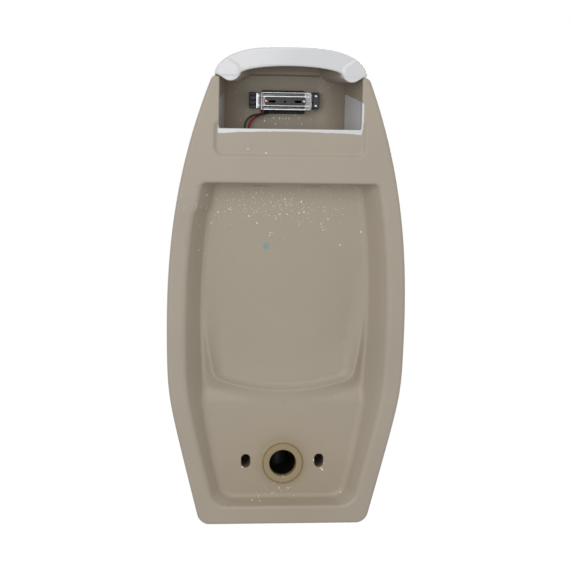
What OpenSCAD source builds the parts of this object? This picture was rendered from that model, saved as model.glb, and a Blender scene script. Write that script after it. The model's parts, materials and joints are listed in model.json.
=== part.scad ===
// Wall-hung urinal of vitreous china with a sensor flush, mounted by its back flange.
// The wall plane is y = 0 and the front points to -Y. The origin is the outlet axis on the wall plane.
// Heights are measured from the lower edge of the body, and drops from its upper edge.

/* [Body] */
// Widest part of the body
body_w = 350; // [330:1:390]
// Height of the china body without its cover
body_h = 661; // [620:1:700]
// Depth from the wall to the front of the rim
body_d = 330; // [310:1:370]
// Width across the top, where the cover sits
top_w = 230; // [226:1:250]
// Depth of the body at the top
top_d = 132; // [130:1:150]
// Width across the lower edge
foot_w = 248; // [230:1:270]
// Depth of the body at the lower edge
foot_d = 150; // [150:1:180]
// Height at which the body is widest
wide_h = 300; // [280:1:330]
// Height at which the straight taper of the lower body starts
bend_h = 200; // [180:1:220]
// Height of the front rim of the bowl
rim_h = 262; // [250:1:290]
// Radius of the two lower corners
corner_r = 14; // [6:1:20]
// Thickness of the cast china
wall_t = 13; // [10:1:14]

/* [Back] */
// Width of the flange that lies on the wall
flange_w = 27; // [22:1:32]
// Height of the lower edge of the recess behind the bowl
recess_bottom_h = 27; // [22:1:34]
// Drop to the upper edge of the recess behind the bowl
recess_drop = 158; // [155:1:168]
// Depth of the groove round the back of the bowl
groove_depth = 64; // [50:1:68]
// Depth of the ridge that borders the back of the bowl
ridge_depth = 34; // [24:1:44]
// How much deeper the middle of the dished back is than its ridge
dish_depth = 15; // [8:1:18]
// Widest span of the ridge
ridge_w = 235; // [220:1:244]
// Span of the ridge at the top of the recess
ridge_top_w = 215; // [200:1:224]
// Span of the ridge where its sides meet the lower arc
ridge_foot_w = 202; // [190:1:216]
// Height of the lowest point of the ridge
arc_h = 194; // [190:1:204]
// Rise of the arc from its lowest point to the corners
arc_rise = 20; // [10:1:30]
// Height of the upper edge of the drain panel
panel_top_h = 182; // [170:1:186]
// Height of the lower edge of the drain panel
panel_bottom_h = 38; // [36:1:48]
// Depth of the drain panel below the wall plane
panel_depth = 25; // [16:1:30]
// Width of the drain panel at its upper edge
panel_top_w = 242; // [220:1:246]
// Width of the drain panel at its lower edge
panel_foot_w = 185; // [170:1:196]
// How far the upper corners of the recess are drawn in
step_w = 6; // [2:1:9]
// Height of the upper part of the recess that is drawn in
step_rise = 37; // [24:1:50]

/* [Bowl] */
// Height of the floor of the bowl
bowl_floor_h = 150; // [146:1:160]
// Thickness of the china between the bowl and the floor of the chest
ceiling_t = 19; // [17:1:24]
// Width of the opening at the rim
bowl_w = 238; // [220:1:244]
// Thickness of the china at the front rim
rim_t = 24; // [18:1:30]
// Thickness of the china between the dished back and the bowl
back_t = 17; // [14:1:20]
// Depth from the wall to the axis of the drain well
well_y = 120; // [118:1:126]

/* [Valve chest] */
// Drop to the floor of the chest
chest_drop = 142; // [137:1:143]
// Width of the rear opening
window_w = 213; // [206:1:214]
// Drop to the glazed lip below the rear opening
lip_drop = 80; // [72:1:83]
// Thickness of the back wall under the lip
lip_t = 14; // [11:1:17]
// Depth from the wall to the inside of the front wall
chest_d = 118; // [117:0.5:119]
// Width of the chest along its front wall
chest_front_w = 176; // [160:1:184]
// Radius of the upright corners at the front of the chest
chest_r = 28; // [15:1:36]
// Depth of the flat panel let into the back below the lip
notch_depth = 2.5; // [1:0.5:4]
// Height of that panel
notch_rise = 36; // [28:1:44]

/* [Outlet] */
// Bore of the outlet
outlet_d = 40; // [36:1:44]
// Outer diameter of the collar round the outlet
collar_d = 59; // [54:1:64]
// How far the collar stands up from the drain panel
collar_t = 6; // [3:1:8]
// Height of the outlet axis above the lower edge
outlet_h = 88; // [84:1:92]
// Distance between the two fixing slots
slot_span = 110; // [100:1:120]
// Width of a fixing slot
slot_w = 13.3; // [10:0.1:16]
// Height of a fixing slot
slot_h = 20; // [17:0.5:26]
// Diameter of the drain well under the bowl
well_d = 56; // [54:1:58]
// Depth of the drain well below the outlet axis
well_drop = 60; // [54:1:66]

/* [Drain cartridge] */
// Diameter of the strainer
strainer_d = 66; // [64:1:67]
// Thickness of the strainer
strainer_t = 3; // [2:0.5:5]
// Outer diameter of the dip tube
dip_d = 36; // [30:1:38]
// Wall of the dip tube
dip_t = 2; // [1.5:0.5:3]
// Depth of the dip tube's mouth below the outlet axis
dip_drop = 42; // [36:1:46]
// Thickness of the flange that carries the dip tube
dip_flange_t = 3; // [2:0.5:4]
// Thickness of the sealing ring
ring_t = 2; // [1:0.5:3]
// How far the cartridge lifts out
cartridge_lift = 120; // [100:5:140]

/* [Cover] */
// Height of the crown of the cover above its rim
cover_rise = 42; // [36:1:50]
// Thickness of the china of the cover
cover_t = 12; // [10:1:13]
// Thickness of the rubber pads under the cover
pad_t = 1.2; // [1:0.1:2]
// Diameter of a rubber pad
pad_d = 6; // [5:0.5:7]
// Span of the arch in the rear edge of the cover
arch_w = 152; // [140:1:156]
// Height of that arch above the rim of the cover
arch_rise = 15; // [10:1:18]
// Radius of a locating lobe
lobe_r = 14; // [12:0.5:15]
// How far a lobe dips below the rim of the cover
lobe_dip = 7.5; // [5:0.5:9]

/* [Sensor] */
// Drop to the middle of the sensor
sensor_drop = 38; // [35:1:40]
// Width of the sensor's front plate
face_w = 84; // [80:1:90]
// Height of the sensor's front plate
face_h = 38; // [34:1:40]
// Thickness of the front plate
face_t = 4; // [3:0.5:5]
// Depth from the wall to the flat on which the gasket lies
seat_y = 130; // [129:0.5:130]
// Thickness of the gasket
gasket_t = 1.2; // [0.8:0.1:2]
// Width of the sensor housing
housing_w = 64; // [60:1:65]
// Height of the sensor housing
housing_h = 22; // [20:1:22]
// Wall of the sensor housing
housing_t = 1.6; // [1:0.1:1.8]
// Depth from the wall to the back of the housing
housing_back_y = 97; // [95:0.5:99]
// Width of the clamp tray
tray_w = 71; // [69:0.5:74]
// Height of the clamp tray
tray_h = 27; // [26:0.5:28]
// Thickness of the tray's sheet
tray_t = 1.2; // [0.8:0.1:1.6]
// Thickness of the foam pad behind the tray
foam_t = 3; // [2:0.5:4]
// Diameter of a lead
lead_d = 2.4; // [1.8:0.1:2.6]

/* [Valve] */
// Diameter of the diaphragm chamber
chamber_d = 48; // [46:1:49]
// Outer diameter of the threaded inlet nipple
nipple_d = 20.955; // [20:0.005:22]
// Distance from the chamber to the inlet nipple
nipple_x = 56; // [54:1:60]
// Bore of the inlet nipple
nipple_bore = 15; // [12:0.5:16]
// Diameter of the spud that passes through the china
spud_d = 18; // [17:0.5:19]
// Bore of the spud
spud_bore = 13; // [11:0.5:14]
// Diameter of the hole for the spud
spud_hole_d = 22; // [21:0.5:23]
// Diameter of the plunger
plunger_d = 8.8; // [8:0.1:9]
// Length of the plunger
plunger_len = 13.5; // [12:0.5:14]
// Travel of the plunger
plunger_travel = 3; // [2:0.5:4]
// Outer diameter of the solenoid coil
coil_d = 26; // [24:1:28]
// Height of the solenoid coil
coil_h = 16.5; // [15:0.5:17]
// Diameter of the stop spindle
spindle_d = 8; // [7:0.5:8.5]

/* [Hidden] */
$fn = 48;

// Heights worked out from the drops
chest_floor_h = body_h - chest_drop;
bowl_top_h = chest_floor_h - ceiling_t;
recess_top_h = body_h - recess_drop;
step_h = recess_top_h - step_rise;
lip_h = body_h - lip_drop;
notch_h = lip_h - notch_rise;
sensor_h = body_h - sensor_drop;

// Heights above the outlet axis
body_top = body_h - outlet_h;
body_foot = -outlet_h;
sensor_z = sensor_h - outlet_h;
chest_floor = chest_floor_h - outlet_h;
lip_z = lip_h - outlet_h;
well_top = bowl_floor_h - outlet_h;
over = 3;
gap = 1;
slip = 0.1;
cut = 60;

// Shape of the outer shell
shell_rows = 34;
shell_cols = 40;
bend_r = 40;
belly_n = 2.3;
top_n = 3;

function soft(x, r) = (x + sqrt(x * x + r * r)) / 2;
function ramp(t) = let (c = min(1, max(0, t))) c * c * (3 - 2 * c);
function softmin(a, b, k) = let (m = max(0, k - abs(a - b)) / k) min(a, b) - m * m * k / 4;
function power(v, p) = sign(v) * pow(abs(v), p);

// Half-width of the body at height h: a straight taper below the bend, a full curve above the middle
function taper(h) = max(0, soft(bend_h - h, bend_r) - soft(bend_h - wide_h, bend_r));
function crown(h) = pow(max(0, (h - wide_h) / (body_h - wide_h)), 2.3);
function foot_corner(h) = h < corner_r ? corner_r - sqrt(corner_r * corner_r - pow(corner_r - h, 2)) : 0;
function half_w(h) = body_w / 2 - (body_w - foot_w) / 2 * taper(h) / taper(0)
    - (body_w - top_w) / 2 * crown(h) - foot_corner(h);

// Depth of the body at height h: the belly swells up to the rim, the front face leans back above it
function above_rim(h) = max(0, (h - rim_h) / (body_h - rim_h));
function depth(h) = h < rim_h
    ? foot_d + (body_d - foot_d) * pow(sin(90 * h / rim_h), 1.25)
    : top_d + (body_d - top_d) * pow(1 - above_rim(h), 2);

// A ring of points round the front half of a rounded section
function front_ring(w, d, n, z) = concat(
    [[-w, over, z]],
    [for (i = [0 : shell_cols]) let (a = 180 * i / shell_cols)
        [-w * power(cos(a), 2 / n), -d * power(sin(a), 2 / n), z]],
    [[w, over, z]]);

// A closed solid through rings of equal length, given from the bottom up, each counter-clockwise from above
module loft(rings) {
    m = len(rings[0]);
    k = len(rings) - 1;
    sides = [for (j = [0 : k - 1]) for (i = [0 : m - 1]) each [
        [j * m + i, (j + 1) * m + i, j * m + (i + 1) % m],
        [(j + 1) * m + i, (j + 1) * m + (i + 1) % m, j * m + (i + 1) % m]]];
    polyhedron(
        points = [for (ring = rings) each ring],
        faces = concat([[for (i = [0 : m - 1]) i]], sides, [[for (i = [m - 1 : -1 : 0]) k * m + i]]),
        convexity = 8);
}

// Heights of the shell's rows: close together at the foot corner and at the rim
function shell_heights() = concat(
    [for (i = [0 : 4]) corner_r * (1 - cos(90 * i / 4))],
    [for (i = [1 : 13]) corner_r + (rim_h - corner_r) * i / 13],
    [for (i = [1 : shell_rows - 14]) rim_h + (body_h - rim_h) * i / (shell_rows - 14)]);

module outer_shell() {
    loft([for (h = shell_heights())
        front_ring(half_w(h), depth(h), belly_n + (top_n - belly_n) * above_rim(h), h - outlet_h)]);
}

// Bowl: a rounded basin below the rim, open to the front above it
front_clear = 40;
floor_w = 90;
function basin(h) = pow(sin(90 * min(1, (h - bowl_floor_h) / (rim_h - bowl_floor_h))), 0.75);
function bowl_half(h) = h <= rim_h
    ? floor_w / 2 + (bowl_w - floor_w) / 2 * basin(h)
    : bowl_w / 2 * sqrt(1 - pow((h - rim_h) / (bowl_top_h + 3 - rim_h), 3.2));
function bowl_back(h) = ridge_depth + dish_depth + back_t + 18 * (1 - basin(h));
function bowl_mid(h) = well_y + 26 * basin(h);
function bowl_front(h) = h <= rim_h
    ? well_y + 40 + (depth(h) - rim_t - well_y - 40) * basin(h)
    : body_d + front_clear;
function bowl_ring(h, z, grow, points) = [for (i = [0 : points - 1]) let (
    a = -360 * i / points,
    back = sin(a) >= 0,
    n = back || h <= rim_h ? 2.4 : 14,
    d = grow + (back ? bowl_mid(h) - bowl_back(h) : bowl_front(h) - bowl_mid(h)))
    [-(bowl_half(h) + grow) * power(cos(a), 2 / n), -bowl_mid(h) + d * power(sin(a), 2 / n), z - outlet_h]];

// The bowl itself, or with grow the bowl and the china round it
module bowl_cavity(grow = 0, points = 40, low = 9, high = 12) {
    low_h = [for (i = [0 : low]) bowl_floor_h + (rim_h - bowl_floor_h) * pow(i / low, 1.4)];
    high_h = [for (i = [1 : high]) rim_h + (bowl_top_h - rim_h) * (1 - pow(1 - i / high, 1.5))];
    loft(concat(
        grow > 0 ? [bowl_ring(bowl_floor_h, bowl_floor_h - grow, grow, points)] : [],
        [for (h = low_h) bowl_ring(h, h, grow, points)],
        [bowl_ring(rim_h + 2, rim_h + 2, grow, points)],
        [for (h = high_h) bowl_ring(h, h, grow, points)],
        grow > 0 ? [bowl_ring(bowl_top_h, bowl_top_h + grow, grow, points)] : []));
}

// The belly and the cheeks are cast hollow: what lies between the outer wall, the bowl and the back
module cast_hollow() {
    rows = 12;
    top = chest_floor_h - wall_t - 6;
    difference() {
        union() {
            intersection() {
                loft([for (j = [0 : rows]) let (h = wall_t + (top - wall_t) * j / rows)
                    hollow_ring(half_w(h) - wall_t, depth(h) - wall_t - 4, belly_n, h - outlet_h)]);
                translate([-body_w, -2 * body_d - groove_depth - wall_t, body_foot])
                    cube([2 * body_w, 2 * body_d, body_h]);
            }
            translate([0, -groove_depth - wall_t - 1, 0])
                rotate([90, 0, 180])
                    linear_extrude(groove_depth - panel_depth + 1)
                        polygon([for (p = [[panel_foot_w, panel_bottom_h + wall_t],
                            [panel_top_w, panel_top_h - wall_t]], side = [-1, 1])
                            [side * (p[0] / 2 - wall_t - 4) * sign(p[1] - (panel_bottom_h + wall_t) - 0.5),
                                p[1] - outlet_h]]);
        }
        bowl_cavity(wall_t, 24, 6, 6);
        at_well(body_foot)
            cylinder(h = body_h / 2, d = well_d + 2 * wall_t, $fn = 32);
        rotate([90, 0, 0])
            cylinder(h = well_y, d = outlet_d + 2 * wall_t, $fn = 32);
    }
}

function hollow_ring(w, d, n, z) = [for (i = [0 : 22]) let (a = 180 * i / 22)
    [-w * power(cos(a), 2 / n), -d * power(sin(a), 2 / n), z]];

// Recess at the back: a groove, the ridge round the dished back of the bowl, and the drain panel
function recess_half(h) = half_w(h) - flange_w - step_w * ramp((h - step_h) / 3);
function ridge_half(h) = let (
    mid = (recess_top_h + arc_h) / 2,
    up = (h - mid) / (recess_top_h - mid),
    down = (mid - h) / (mid - arc_h - arc_rise),
    narrow = h > mid ? (ridge_w - ridge_top_w) * up * up : (ridge_w - ridge_foot_w) * down * down)
    (ridge_w - narrow) / 2;
function in_ridge(x, h) =
    softmin(ridge_half(h) - abs(x), h - arc_h - arc_rise * pow(2 * x / ridge_foot_w, 2), 14);
function panel_half(h) = let (t = (h - panel_bottom_h) / (panel_top_h - panel_bottom_h))
    (panel_foot_w + (panel_top_w - panel_foot_w) * t) / 2;
function in_panel(x, h) = softmin(panel_half(h) - abs(x), panel_top_h - h, 8);
function back_depth(x, h) = let (
    s = in_ridge(x, h),
    ridge = s > 0
        ? ridge_depth + dish_depth * ramp(s / 60)
        : ridge_depth + (groove_depth - ridge_depth) * ramp(-s / 16),
    panel = panel_depth + (groove_depth - panel_depth) * ramp(-in_panel(x, h) / 13),
    wall = min(
        (recess_half(h) - abs(x)) * 8,
        (recess_top_h - h) * 14,
        (h - recess_bottom_h) * panel_depth / (panel_bottom_h - recess_bottom_h)))
    max(0, min(ridge, panel, wall));
// Columns of the recess follow the groove and the crest of the ridge, or the edge of the drain panel
function crest_half(h) = let (t = ramp((h - panel_top_h) / (arc_h + arc_rise - panel_top_h)))
    panel_half(min(h, panel_top_h)) * (1 - t) + ridge_half(max(h, arc_h + arc_rise)) * t;
function back_columns(h) = let (edge = recess_half(h), crest = min(crest_half(h), edge - 22))
    [edge, edge - 4, edge - 9, crest + 11, crest + 4, crest - 1, crest - 7, crest - 16,
        0.72 * crest, 0.52 * crest, 0.26 * crest];
function back_row(h) = let (c = back_columns(h)) concat([for (x = c) -x], [0], [for (i = [len(c) - 1 : -1 : 0]) c[i]]);
function back_heights() = concat(
    [recess_bottom_h, (recess_bottom_h + panel_bottom_h) / 2],
    [for (i = [0 : 7]) panel_bottom_h + (panel_top_h - 4 - panel_bottom_h) * i / 7],
    [for (h = [panel_top_h : 3 : arc_h + arc_rise + 12]) h],
    [for (i = [1 : 16]) arc_h + arc_rise + 12 + (step_h - arc_h - arc_rise - 12) * i / 16],
    [for (i = [1 : 4]) step_h + (recess_top_h - 5 - step_h) * i / 4],
    [recess_top_h - 1, recess_top_h]);

module back_recess() {
    heights = back_heights();
    m = len(back_row(heights[0]));
    k = len(heights);
    floor_points = [for (h = heights) for (x = back_row(h)) [x, -back_depth(x, h), h - outlet_h]];
    lid_points = [for (p = floor_points) [p[0], over + 1, p[2]]];
    n = len(floor_points);
    floor_faces = [for (j = [0 : k - 2]) for (i = [0 : m - 2]) let (a = j * m + i) each [
        [a, a + m, a + 1], [a + 1, a + m, a + m + 1]]];
    edge = concat(
        [for (i = [0 : m - 2]) i],
        [for (j = [0 : k - 2]) j * m + m - 1],
        [for (i = [m - 1 : -1 : 1]) (k - 1) * m + i],
        [for (j = [k - 1 : -1 : 1]) j * m]);
    e = len(edge);
    polyhedron(
        points = concat(floor_points, lid_points),
        faces = concat(
            floor_faces,
            [for (i = [0 : e - 1]) each [
                [edge[i], edge[(i + 1) % e], n + edge[i]],
                [edge[(i + 1) % e], n + edge[(i + 1) % e], n + edge[i]]]],
            [[for (i = [0 : e - 1]) n + edge[i]]]),
        convexity = 10);
}

// Plan of the valve chest: narrower along its front wall, with rounded front corners
function chest_plan(inset) = let (
    half = window_w / 2 - inset,
    front = chest_front_w / 2 - inset,
    r = chest_r - inset,
    y0 = -chest_d + inset + r)
    concat(
        [[half, -lip_t], [front + (half - front) * (r / chest_d), y0]],
        [for (a = [-15 : -15 : -90]) [front - r + r * cos(a), y0 + r * sin(a)]],
        [for (a = [-90 : -15 : -165]) [-front + r + r * cos(a), y0 + r * sin(a)]],
        [[-front - (half - front) * (r / chest_d), y0], [-half, -lip_t]]);

module chest_cavity() {
    translate([0, 0, chest_floor])
        linear_extrude(body_h)
            polygon(chest_plan(0));
    translate([-window_w / 2, -lip_t - 1, lip_z])
        cube([window_w, lip_t + over + 2, body_h]);
    translate([-window_w / 2 - 5, -notch_depth, notch_h - outlet_h])
        cube([window_w + 10, notch_depth + over + 1, lip_h - notch_h + 0.01]);
}

// A flat bar with rounded corners, standing in the XZ plane and running back from y
module slab(w, h, r, t) {
    rotate([90, 0, 0])
        linear_extrude(t)
            rounded(w, h, r);
}

module rounded(w, h, r) {
    square([w - 2 * r, h], center = true);
    square([w, h - 2 * r], center = true);
    for (x = [-1, 1], y = [-1, 1])
        translate([x * (w / 2 - r), y * (h / 2 - r)])
            circle(r);
}

module at_sensor(y) {
    translate([0, -y, sensor_z])
        children();
}

// Bored holes of the body
slot_rise = 2;
spud_x = 0;
spud_y = 88;
ceiling_z = bowl_top_h - outlet_h;
seat_h = ring_t + dip_flange_t + strainer_t;

module at_well(z) {
    translate([0, -well_y, z])
        children();
}

module at_valve(z) {
    translate([spud_x, -spud_y, z])
        children();
}

// The slots are pierced small in the wet clay, which also vents the hollow, then cut to size
module pierced_slots() {
    for (side = [-1, 1])
        translate([side * slot_span / 2, -panel_depth - wall_t / 2, slot_rise])
            cube([slot_w / 2, 2 * wall_t, slot_h / 2], center = true);
}

module fixing_slot() {
    length = wall_t + 4;
    translate([0, -panel_depth + 2, 0]) {
        for (z = [-1, 1])
            translate([0, 0, z * (slot_h - slot_w) / 2])
                rotate([90, 0, 0])
                    cylinder(h = length, d = slot_w);
        translate([-slot_w / 2, -length, -(slot_h - slot_w) / 2])
            cube([slot_w, length, slot_h - slot_w]);
    }
}

module ceramic_body() {
    color([0.62, 0.58, 0.49])
    difference() {
        union() {
            resize([body_w, body_d + over, body_h])
                difference() {
                    outer_shell();
                    bowl_cavity();
                    cast_hollow();
                    pierced_slots();
                    back_recess();
                    chest_cavity();
                    at_sensor(seat_y)
                        slab(face_w + over, face_h + over, 6, cut);
                    at_sensor(chest_d - 5)
                        slab(housing_w + 2 * gap, housing_h + 2 * gap, 3, cut);
                }
            translate([0, -panel_depth + collar_t, 0])
                rotate([90, 0, 0])
                    cylinder(h = collar_t + 2, d = collar_d);
        }
        translate([-body_w, 0, body_foot - 1])
            cube([2 * body_w, 2 * over, body_h + 2]);
        translate([0, over, 0])
            rotate([90, 0, 0])
                cylinder(h = well_y + over, d = outlet_d);
        at_well(-well_drop)
            cylinder(h = well_drop + well_top, d = well_d);
        at_well(well_top - seat_h)
            cylinder(h = seat_h + over, d = strainer_d + gap);
        at_valve(ceiling_z - 20)
            cylinder(h = 60, d = spud_hole_d);
        at_valve(ceiling_z - 20)
            cylinder(h = 20, d = spud_nut_d + 6);
        for (side = [-1, 1])
            translate([side * slot_span / 2, 0, slot_rise])
                fixing_slot();
    }
}

// Cover: a half dome over the chest, hollow, with an arch in its rear edge and two locating lobes
cover_z = body_top + pad_t;
dome_n = 2.5;
module half_dome(w, d, rise) {
    rows = 12;
    loft([for (j = [0 : rows]) let (
        a = 88 * j / rows,
        c = power(cos(a), 2 / dome_n),
        n = top_n - (top_n - dome_n) * j / rows)
        [for (i = [0 : 26]) let (b = 180 * i / 26)
            [-w * c * power(cos(b), 2 / n), -d * c * power(sin(b), 2 / n), rise * power(sin(a), 2 / dome_n)]]]);
}

function arch_outline() = concat(
    [for (i = [0 : 20]) let (a = 180 * i / 20)
        [arch_w / 2 * power(cos(a), 2 / 2.7), arch_rise * power(sin(a), 2 / 2.7)]],
    [[-arch_w / 2, -2], [arch_w / 2, -2]]);

lobe_z = lobe_r - lobe_dip;
lobe_lean = 1.6;
module lobe(side) {
    ends = [[window_w / 2 - gap - lobe_r, 0], [chest_front_w / 2 - gap - lobe_r - 4, chest_d - chest_r - 4]];
    hull()
        for (end = ends, lift = [0, lobe_dip + 1])
            translate([side * (end[0] + lobe_lean * lift), -end[1], lobe_z + lift])
                rotate([90, 0, 0])
                    cylinder(h = 1, r = lobe_r, $fn = 32);
}

module top_cover() {
    color([0.93, 0.94, 0.95])
    translate([0, 0, cover_z]) {
        difference() {
            half_dome(top_w / 2, top_d, cover_rise);
            translate([0, -cover_t, -0.01])
                half_dome(top_w / 2 - cover_t, top_d - 2 * cover_t, cover_rise - cover_t);
            translate([0, 1, 0])
                rotate([90, 0, 0])
                    linear_extrude(cover_t + 2)
                        polygon(arch_outline());
        }
        intersection() {
            union() {
                lobe(-1);
                lobe(1);
            }
            union() {
                half_dome(top_w / 2 - 1, top_d - 1, cover_rise - 1);
                translate([-top_w / 2, -top_d, -2 * lobe_r])
                    cube([top_w, top_d, 2 * lobe_r + 0.5]);
            }
        }
    }
}

module cover_pads() {
    pads = [[top_w / 2 - 4.6, 18], [44, top_d - 9]];
    color([0.12, 0.12, 0.12])
    for (side = [-1, 1], p = pads)
        translate([side * p[0], -p[1], body_top])
            cylinder(h = pad_t, d = pad_d);
}

// Sensor, from the front plate inwards
plate_y = seat_y + gasket_t;
window_w_open = 52;
window_h_open = 16;
cavity_w = housing_w - 2 * housing_t;
cavity_h = housing_h - 2 * housing_t;
screw_x = 29;

module sensor_faceplate() {
    color([0.85, 0.86, 0.88])
    at_sensor(plate_y)
    difference() {
        slab(face_w, face_h, 5, face_t);
        translate([0, 1, 0])
            slab(window_w_open + 2 * slip, window_h_open + 2 * slip, 3, face_t + 2);
    }
}

module faceplate_gasket() {
    color([0.1, 0.1, 0.1])
    at_sensor(seat_y)
    difference() {
        slab(face_w - 2, face_h - 2, 4, gasket_t);
        translate([0, 1, 0])
            slab(housing_w + 2 * gap, housing_h + 2 * gap, 3, gasket_t + 2);
    }
}

module sensor_window() {
    color([0.06, 0.05, 0.07])
    at_sensor(plate_y)
        slab(window_w_open, window_h_open, 2.9, face_t - 0.5);
}

module sensor_housing() {
    color([0.09, 0.09, 0.1])
    at_sensor(housing_back_y)
    difference() {
        slab(housing_w, housing_h, 2.5, plate_y - housing_back_y);
        translate([0, -housing_t, 0])
            slab(cavity_w, cavity_h, 1.5, plate_y);
        for (x = [-screw_x, screw_x])
            translate([x, 1, 0])
                rotate([90, 0, 0])
                    cylinder(h = 6, d = 2.4);
        for (x = [-14, 11])
            translate([x - 3.2, -0.7, -3.2])
                cube([6.4, 2, 6.4]);
    }
}

module housing_screws() {
    color([0.72, 0.45, 0.3])
    for (x = [-screw_x, screw_x])
        translate([x, 0, 0])
            at_sensor(housing_back_y)
            difference() {
                union() {
                    rotate([-90, 0, 0])
                        cylinder(h = 1.4, d = 4.6);
                    rotate([90, 0, 0])
                        cylinder(h = 5, d = 2.4);
                }
                translate([-2.5, 0.8, -0.35])
                    cube([5, 1, 0.7]);
            }
}

board_y = 122;
module circuit_board() {
    color([0.1, 0.35, 0.2])
    at_sensor(board_y)
    difference() {
        slab(cavity_w - 0.2, cavity_h - 0.2, 1.4, 1.6);
        for (x = [-12, 12])
            translate([x, 1, 0])
                rotate([90, 0, 0])
                    cylinder(h = 4, d = 1);
    }
}

module infrared_pair() {
    color([0.2, 0.15, 0.25])
    for (x = [-12, 12])
        translate([x, 0, 0])
            at_sensor(board_y + 1.6)
                rotate([90, 0, 0]) {
                    cylinder(h = plate_y - board_y - 3.4, d = 5);
                    translate([0, 0, plate_y - board_y - 3.4])
                        cylinder(h = 1.5, d1 = 5, d2 = 3);
                }
}

module battery_pack() {
    color([0.75, 0.75, 0.78])
    for (side = [-1, 1])
        translate([side * 9, -board_y, sensor_z])
            rotate([-90, 0, 0])
                difference() {
                    cylinder(h = board_y - housing_back_y - housing_t, d = 17);
                    translate([0, 0, -1])
                        cylinder(h = 2, d = 6);
                }
}

// Clamp on the inside of the front wall
tray_back_y = housing_back_y - tray_t;
foam_y = chest_d - foam_t;
ear_w = (40.7 - tray_w / 2);
module foam_pad() {
    color([0.17, 0.17, 0.16])
    at_sensor(foam_y)
    difference() {
        translate([0, 0, -2])
            slab(tray_w - 5, tray_h + 8, 2, foam_t);
        translate([0, 1, 0])
            slab(housing_w + gap, housing_h + gap, 2.5, foam_t + 2);
    }
}

lead_holes = [22, 30];
tray_end = 4;
tray_band = 7.5;
module clamp_tray() {
    color([0.8, 0.82, 0.84])
    at_sensor(tray_back_y)
    difference() {
        union() {
            slab(tray_w, tray_h, 1.2, foam_y - tray_back_y);
            translate([ear_w / 2, -foam_y + tray_back_y + 2 * tray_t, 0])
                slab(tray_w + ear_w, tray_h - 5, 1, 2 * tray_t);
        }
        translate([0, -tray_t, 0])
            slab(tray_w - 2 * tray_t, tray_h - 2 * tray_t, 0.8, foam_y);
        translate([0, 1, 0])
            slab(tray_w - 2 * tray_end, tray_h - 2 * tray_band, 1, tray_t + 2);
        for (x = lead_holes)
            translate([x, -(spud_y + 20 - tray_back_y), -tray_h / 2 - 1])
                cylinder(h = tray_t + 2, d = lead_d + 2 * slip);
    }
}

end_y = 101;
module end_pad() {
    color([0.05, 0.05, 0.05])
    at_sensor(end_y)
    difference() {
        translate([46, 0, 0.8])
            slab(10, 23.5, 1.5, chest_d - end_y);
        for (z = [-7, 0, 7])
            translate([49.5, 0.5, z + 0.8])
                slab(1.2, 4, 0.4, 3);
    }
}

module cable_clip() {
    color([0.05, 0.05, 0.05])
    at_sensor(end_y)
    difference() {
        translate([-45, 0, 0.8])
            slab(12, 23.5, 1.5, chest_d - end_y);
        for (z = clip_z)
            translate([-46.5, 1, z])
                rotate([90, 0, 0])
                    cylinder(h = 8, d = 2.4);
    }
}

clip_z = [8.5, -6];
module clip_screws() {
    color([0.85, 0.85, 0.86])
    for (z = clip_z)
        translate([-46.5, -end_y, sensor_z + z]) {
            rotate([-90, 0, 0])
                cylinder(h = 1.6, d = 5);
            rotate([90, 0, 0])
                cylinder(h = 6, d = 2.4);
        }
}

// Leads from the tray down to the coil. Every point is [x, y, height above the floor of the chest].
RED_ROUTE = [[30, -108, 91], [30.5, -108, 87], [34, -109, 83], [40, -109, 80], [47, -107, 75],
    [51, -103, 68], [52, -98, 60], [49, -92, 52], [42, -87, 44], [32, -85, 39], [20.2, -85, 38]];
BLACK_ROUTE = [[22, -108, 91], [22.5, -108, 87], [27, -105, 85], [36, -102, 84], [46, -99, 82],
    [54, -97, 77], [58, -96, 69], [58, -95, 60], [53, -94, 52], [44, -93, 46], [33, -92, 44],
    [20.2, -92, 44]];

function sum_to(v, i) = i < 0 ? 0 : v[i] + sum_to(v, i - 1);
function spline(p, i, t) = let (
    a = p[max(0, i - 1)], b = p[i], c = p[i + 1], d = p[min(len(p) - 1, i + 2)])
    0.5 * ((2 * b) + (c - a) * t + (2 * a - 5 * b + 4 * c - d) * t * t
        + (3 * b - a - 3 * c + d) * t * t * t);
function smooth_route(p, steps) = concat(
    [for (i = [0 : len(p) - 2]) for (s = [0 : steps - 1]) spline(p, i, s / steps)], [p[len(p) - 1]]);
function unit(v) = v / norm(v);

module swept_tube(path, d, sides) {
    n = len(path);
    side_dir = [0.31, 0.9, 0.3];
    rings = [for (i = [0 : n - 1]) let (
        t = unit(path[min(n - 1, i + 1)] - path[max(0, i - 1)]),
        u = unit(cross(t, side_dir)),
        v = cross(t, u))
        [for (k = [0 : sides - 1]) path[i]
            + d / 2 * (cos(360 * k / sides) * u + sin(360 * k / sides) * v)]];
    loft(rings);
}

module red_lead() {
    color([0.7, 0.08, 0.06])
    translate([0, 0, chest_floor])
        swept_tube(smooth_route(RED_ROUTE, 3), lead_d, 8);
}

module black_lead() {
    color([0.04, 0.04, 0.04])
    translate([0, 0, chest_floor])
        swept_tube(smooth_route(BLACK_ROUTE, 3), lead_d, 8);
}

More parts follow.
